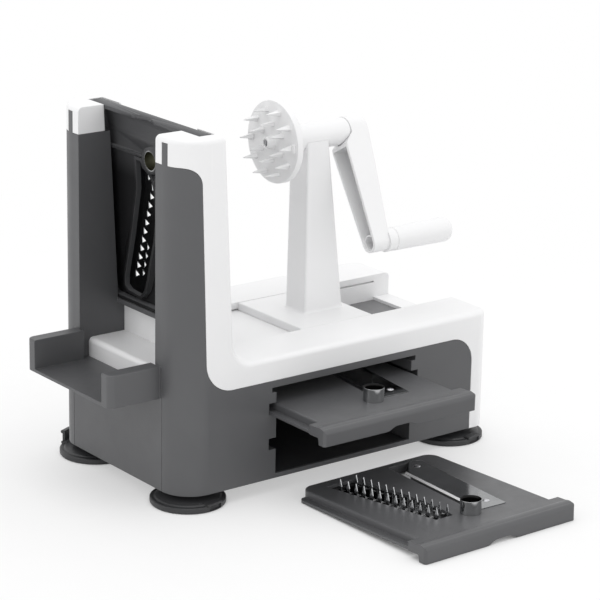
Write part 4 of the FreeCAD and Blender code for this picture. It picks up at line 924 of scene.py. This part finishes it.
channel = tapered_outline(ARM_WALL, CHANNEL_TOP)
arm_mesh = carve("arm", arm_form(rounded_rings()), [
    ("DIFFERENCE", round_bar(*HUB_BORE)),
    ("DIFFERENCE", arm_form([(channel, lambda z: BEHIND),
                             (channel, lambda z: arm_right(z) - ARM_WALL)])),
    ("UNION", round_bar(*GRIP_BOSS)), ("UNION", round_bar(*PIN_TUBE)),
    ("DIFFERENCE", round_bar(*COLLAR_BORE)), ("DIFFERENCE", round_bar(*PIN_BORE)),
    ("DIFFERENCE", round_bar(*SHAFT_BORE))])
arm_mesh.transform(Matrix(((0, 0, 1, 0), (1, 0, 0, 0), (0, 1, 0, 0), (0, 0, 0, 1))))
dress("moulded_crank_arm", arm_mesh, plastic["white_plastic"],
      to_row @ shift(0, MIDDLE, AXIS_HEIGHT) @ tilt("X", ARM_ANGLE), "crank", "white",
      ["crank_arm"], crease=24.0)


# ------------------------------------- base screws
SCREW_DOME = ((0.0, 1.0), (0.62, 0.98), (0.88, 0.74), (1.0, 0.3))
RECESS_DEPTH, RECESS_MIDDLE = 0.0018, (0.0, 0.0, -0.0015)


def screw_rule():
    """Pan-head screws on the corners of a rectangle, each with a cross recess."""
    tree, ins, outs = new_rule("screw_corners", [
        ("Span X", FLOAT, 0.198), ("Span Y", FLOAT, 0.1572), ("Head radius", FLOAT, 0.0032),
        ("Head height", FLOAT, 0.0016), ("Shank radius", FLOAT, 0.0015),
        ("Shank length", FLOAT, 0.0915), ("Recess width", FLOAT, 0.0007),
        ("Recess span", FLOAT, 0.0034), ("Finish", FINISH, None)])
    head, shank, long = ins["Head radius"], ins["Shank radius"], ins["Shank length"]
    profile = [(head * across, ins["Head height"] * -up) for across, up in SCREW_DOME]
    profile += [(head, 0.0), (shank, 0.0), (shank, long), (0.0, long)]
    recess = [block(tree, (x, y, RECESS_DEPTH), RECESS_MIDDLE)
              for x, y in ((ins["Recess span"], ins["Recess width"]),
                           (ins["Recess width"], ins["Recess span"]))]
    corners = grid(tree, ins["Span X"], ins["Span Y"], 2, 2)
    spots = on_points(tree, corners, cut(tree, turned(tree, profile, 28), *recess))
    return close_rule(tree, outs, spots, ins["Finish"])


grow("base_screw_heads", screw_rule(), {"Finish": pin_steel},
     to_row @ shift(163.0, MIDDLE, 11.6), "housing", "steel", ["housing_screws"])


# ------------------------------------- holding disc, in metres
SPIKE_ROOT = 0.0005                  # how far a spike's foot is sunk into the disc
RIB_THICK, RIB_FOOT, RIB_END = 0.0016, 0.003, 0.001
STOP, STOP_OUT, STOP_DOWN = (0.0064, 0.0026, 0.0023), 0.0282, -0.00065


def disc_profile(ins):
    """Half section of the disc: bored boss, face, rim and the socket of the shaft behind."""
    bored, counterbore, shaft = ins["Bore"], ins["Counterbore"], ins["Shaft radius"]
    edge, rim, wall, plate = ins["Disc radius"], ins["Rim length"], ins["Rim wall"], ins["Plate"]
    boss, socket, reach = ins["Boss radius"], ins["Socket radius"], ins["Socket reach"]
    front = 0.0 - ins["Boss length"]
    floor = front + ins["Counterbore depth"]
    return [
        (bored, plate), (bored, floor), (counterbore, floor), (counterbore, front + 0.0002),
        (counterbore + 0.0002, front), (boss - 0.0012, front), (boss - 0.0008, front + 0.0004),
        (boss - 0.0001, -0.0008), (boss + 0.0003, -0.0002), (boss + 0.0009, 0.0),
        (edge - 0.0009, 0.0), (edge - 0.00026, 0.00026), (edge, 0.0009), (edge, rim - 0.0003),
        (edge - 0.0003, rim), (edge - (wall - 0.0002), rim), (edge - wall, rim - 0.0003),
        (edge - wall, plate + 0.0004), (edge - wall - 0.0004, plate), (socket + 0.0004, plate),
        (socket, plate + 0.0004), (socket, reach - 0.0003), (socket - 0.0003, reach),
        (shaft, reach), (shaft, plate), (bored, plate)]


def disc_spike(tree, ins):
    """Flat-sided point, wider round the disc than across it."""
    raw = block(tree, (1.0, 1.0, 1.0), (0.0, 0.0, 0.5), (3, 3, 6))
    at = by_name(tree, add(tree, "ShaderNodeSeparateXYZ",
                           {"Vector": point_position(tree)}).outputs)
    deep, wide = (maths(tree, "MULTIPLY_ADD", at["Z"], ins["Spike tip"] - size, size)
                  for size in (ins["Spike depth"], ins["Spike width"]))
    out = maths(tree, "MULTIPLY_ADD", at["Z"], (ins["Spike length"] + SPIKE_ROOT) * -1.0,
                SPIKE_ROOT)
    return bent(tree, raw, point(tree, at["X"] * deep, at["Y"] * wide, out))


def disc_spikes(tree, ins, count, circle, start, spike):
    """A ring of spikes, the first one turned by a start angle in degrees."""
    ring = add(tree, "GeometryNodeMeshCircle", {"Vertices": ins[count], "Radius": ins[circle]})
    ring = laid(tree, ring.outputs[0], turn=(0.0, 0.0, math.radians(start)))
    outwards = add(tree, "FunctionNodeAlignRotationToVector", {"Vector": point_position(tree)},
                   axis="X", pivot_axis="Z")
    return on_points(tree, ring, spike, outwards.outputs[0])


def disc_ribs(tree, ins):
    """Spokes behind the plate, from the shaft's socket to the rim."""
    foot, rim = ins["Shaft radius"] + RIB_FOOT, ins["Rim length"]
    long = ins["Disc radius"] - RIB_END - foot
    rib = laid(tree, block(tree, (long, RIB_THICK, rim - RIB_THICK)),
               point(tree, foot + long * 0.5, 0.0, rim * 0.5))
    hubs = row_of_points(tree, ins["Ribs"], NOWHERE, NOWHERE)
    return on_points(tree, hubs, rib, point(tree, z=count_up(tree) * math.tau / ins["Ribs"]))


def disc_rule():
    """Holding disc: turned plate with rim, boss and socket, ribs behind, two rings of spikes."""
    tree, ins, outs = new_rule("spiked_disc", [
        ("Disc radius", FLOAT, 0.0326), ("Plate", FLOAT, 0.0026), ("Rim length", FLOAT, 0.0056),
        ("Rim wall", FLOAT, 0.0024), ("Boss radius", FLOAT, 0.0054), ("Boss length", FLOAT, 0.007),
        ("Bore", FLOAT, 0.0017), ("Counterbore", FLOAT, 0.0029),
        ("Counterbore depth", FLOAT, 0.0036), ("Socket radius", FLOAT, 0.008),
        ("Socket reach", FLOAT, 0.0063), ("Shaft radius", FLOAT, 0.004),
        ("Outer spikes", COUNT, 10), ("Outer circle", FLOAT, 0.0255),
        ("Inner spikes", COUNT, 6), ("Inner circle", FLOAT, 0.0145),
        ("Spike length", FLOAT, 0.0125), ("Spike width", FLOAT, 0.0046),
        ("Spike depth", FLOAT, 0.0034), ("Spike tip", FLOAT, 0.0005), ("Ribs", COUNT, 6),
        ("Finish", FINISH, None)])
    spike = disc_spike(tree, ins)
    parts = [turned(tree, disc_profile(ins), 96), disc_ribs(tree, ins),
             disc_spikes(tree, ins, "Outer spikes", "Outer circle", 18.0, spike),
             disc_spikes(tree, ins, "Inner spikes", "Inner circle", 0.0, spike)]
    parts += [block(tree, STOP, (0.0, side * STOP_OUT, STOP_DOWN)) for side in (-1.0, 1.0)]
    return close_rule(tree, outs, join(tree, *parts), ins["Finish"])


grow("holding_disc", disc_rule(), {"Finish": plastic["white_plastic"]},
     to_row @ shift(144.0, MIDDLE, AXIS_HEIGHT) @ tilt("Y", 90.0), "crank", "white",
     ["spiked_disc"])


# ------------------------------------- deck pocket
POCKET_LOW, POCKET_HIGH, POCKET_ROUND = (216.05, 43.45, 85.9), (283.95, 128.55, 86.7), 0.2


def lay_panel(name, low, high, round_off, body, finish):
    """Flat panel with softened edges, in body millimetres."""
    mesh = bpy.data.meshes.new(name)
    with worked_on(mesh) as work:
        bmesh.ops.create_cube(work, size=1.0)
        for vert in work.verts:
            vert.co = Vector((low[i] if vert.co[i] < 0 else high[i] for i in range(3))) * MM
        bmesh.ops.bevel(work, geom=work.edges[:], offset=round_off * MM, segments=2, profile=0.5,
                        affect="EDGES", clamp_overlap=True)
        bmesh.ops.recalc_face_normals(work, faces=work.faces)
    mesh.transform(to_row)
    mesh.materials.append(finish)
    piece = new_object(name, mesh)
    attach(piece, body)


# The deck pocket's floor shows the grey moulding right up to the pocket's walls, in a paler copy of
# the grey that paints light on it.
lay_panel("pocket_floor", POCKET_LOW, POCKET_HIGH, POCKET_ROUND, "housing",
          plastic["pocket_floor_lit_grey"])

# ------------------------------------- camera and studio
STAND = Vector((-1.11824, -1.42065, 0.6974))
LOOK = Vector((0.584092, 0.757129, -0.292563)).normalized()
ABOVE_LOOK = Vector((0.163414, 0.243369, 0.956069)).normalized()
WORLD_LEVEL, FLOOR_DROP, FLOOR_RADIUS = 0.95, 0.0002, 6.0
WHITE = (1.0, 1.0, 1.0, 1.0)

camera_data = bpy.data.cameras.new("camera")
camera_data.sensor_width = 36.0
camera_data.lens = 150.04
camera_data.clip_end = 50.0
camera = new_object("camera", camera_data)
side = LOOK.cross(ABOVE_LOOK).normalized()
above = side.cross(LOOK).normalized()
camera.matrix_world = (Matrix.Translation(STAND)
                       @ Matrix((side, above, -LOOK)).transposed().to_4x4())
bpy.context.scene.camera = camera


def soft_lamp(name, place, target, width, height, watts):
    data = bpy.data.lights.new(name, "AREA")
    data.shape = "RECTANGLE"
    data.size = width
    data.size_y = height
    data.energy = watts
    lamp = new_object(name, data)
    lamp.location = place
    lamp.rotation_euler = (Vector(target) - Vector(place)).to_track_quat("-Z", "Y").to_euler()


soft_lamp("overhead_softbox", (0.0, 0.1, 1.9), (0.0, 0.0, 0.1), 1.6, 1.6, 8.0)
soft_lamp("front_softbox", (1.1, -2.0, 1.0), (0.0, 0.0, 0.12), 1.4, 1.2, 2.6)
soft_lamp("left_softbox", (-2.1, 0.55, 0.8), (0.0, 0.0, 0.12), 1.2, 1.2, 3.0)

world = bpy.data.worlds.new("studio")
bpy.context.scene.world = world
world.use_nodes = True
sky = world.node_tree
sky.nodes.clear()
level = spread(sky, seen_plainly(sky), 0.0, 1.0, WORLD_LEVEL, 1.0)
backing = add(sky, "ShaderNodeBackground", {"Color": WHITE, "Strength": level})
add(sky, "ShaderNodeOutputWorld", {"Surface": backing.outputs[0]})


def make_floor():
    """Pale floor that fades into the backdrop away from the object."""
    mesh = bpy.data.meshes.new("floor")
    with worked_on(mesh) as work:
        bmesh.ops.create_circle(work, cap_ends=True, segments=96, radius=FLOOR_RADIUS)
    floor = new_object("floor", mesh)
    floor.location.z = -FLOOR_DROP
    finish, tree, blend = new_finish("floor_paper", "ShaderNodeMixShader")
    place = surface_point(tree)
    tone = shade(tree, noise(tree, place, 30.0, 4.0), (0.9, 0.9, 0.9), (0.88, 0.88, 0.88))
    paper = add(tree, "ShaderNodeBsdfDiffuse", {"Color": tone})
    white = add(tree, "ShaderNodeEmission", {"Color": WHITE, "Strength": 1.0})
    away = add(tree, "ShaderNodeVectorMath", {0: place}, operation="LENGTH").outputs["Value"]
    fade = spread(tree, away, 0.25, 0.9, 0.45, 1.0)
    closed = add(tree, "ShaderNodeAmbientOcclusion", {"Distance": 0.012}, samples=8)
    fade = fade * spread(tree, closed.outputs["AO"], 0.15, 0.75)
    for socket, value in zip(blend.inputs, (fade * seen_plainly(tree), paper.outputs[0],
                                            white.outputs[0])):
        feed(tree, socket, value)
    mesh.materials.append(finish)


make_floor()
bpy.context.scene.view_settings.view_transform = "Standard"
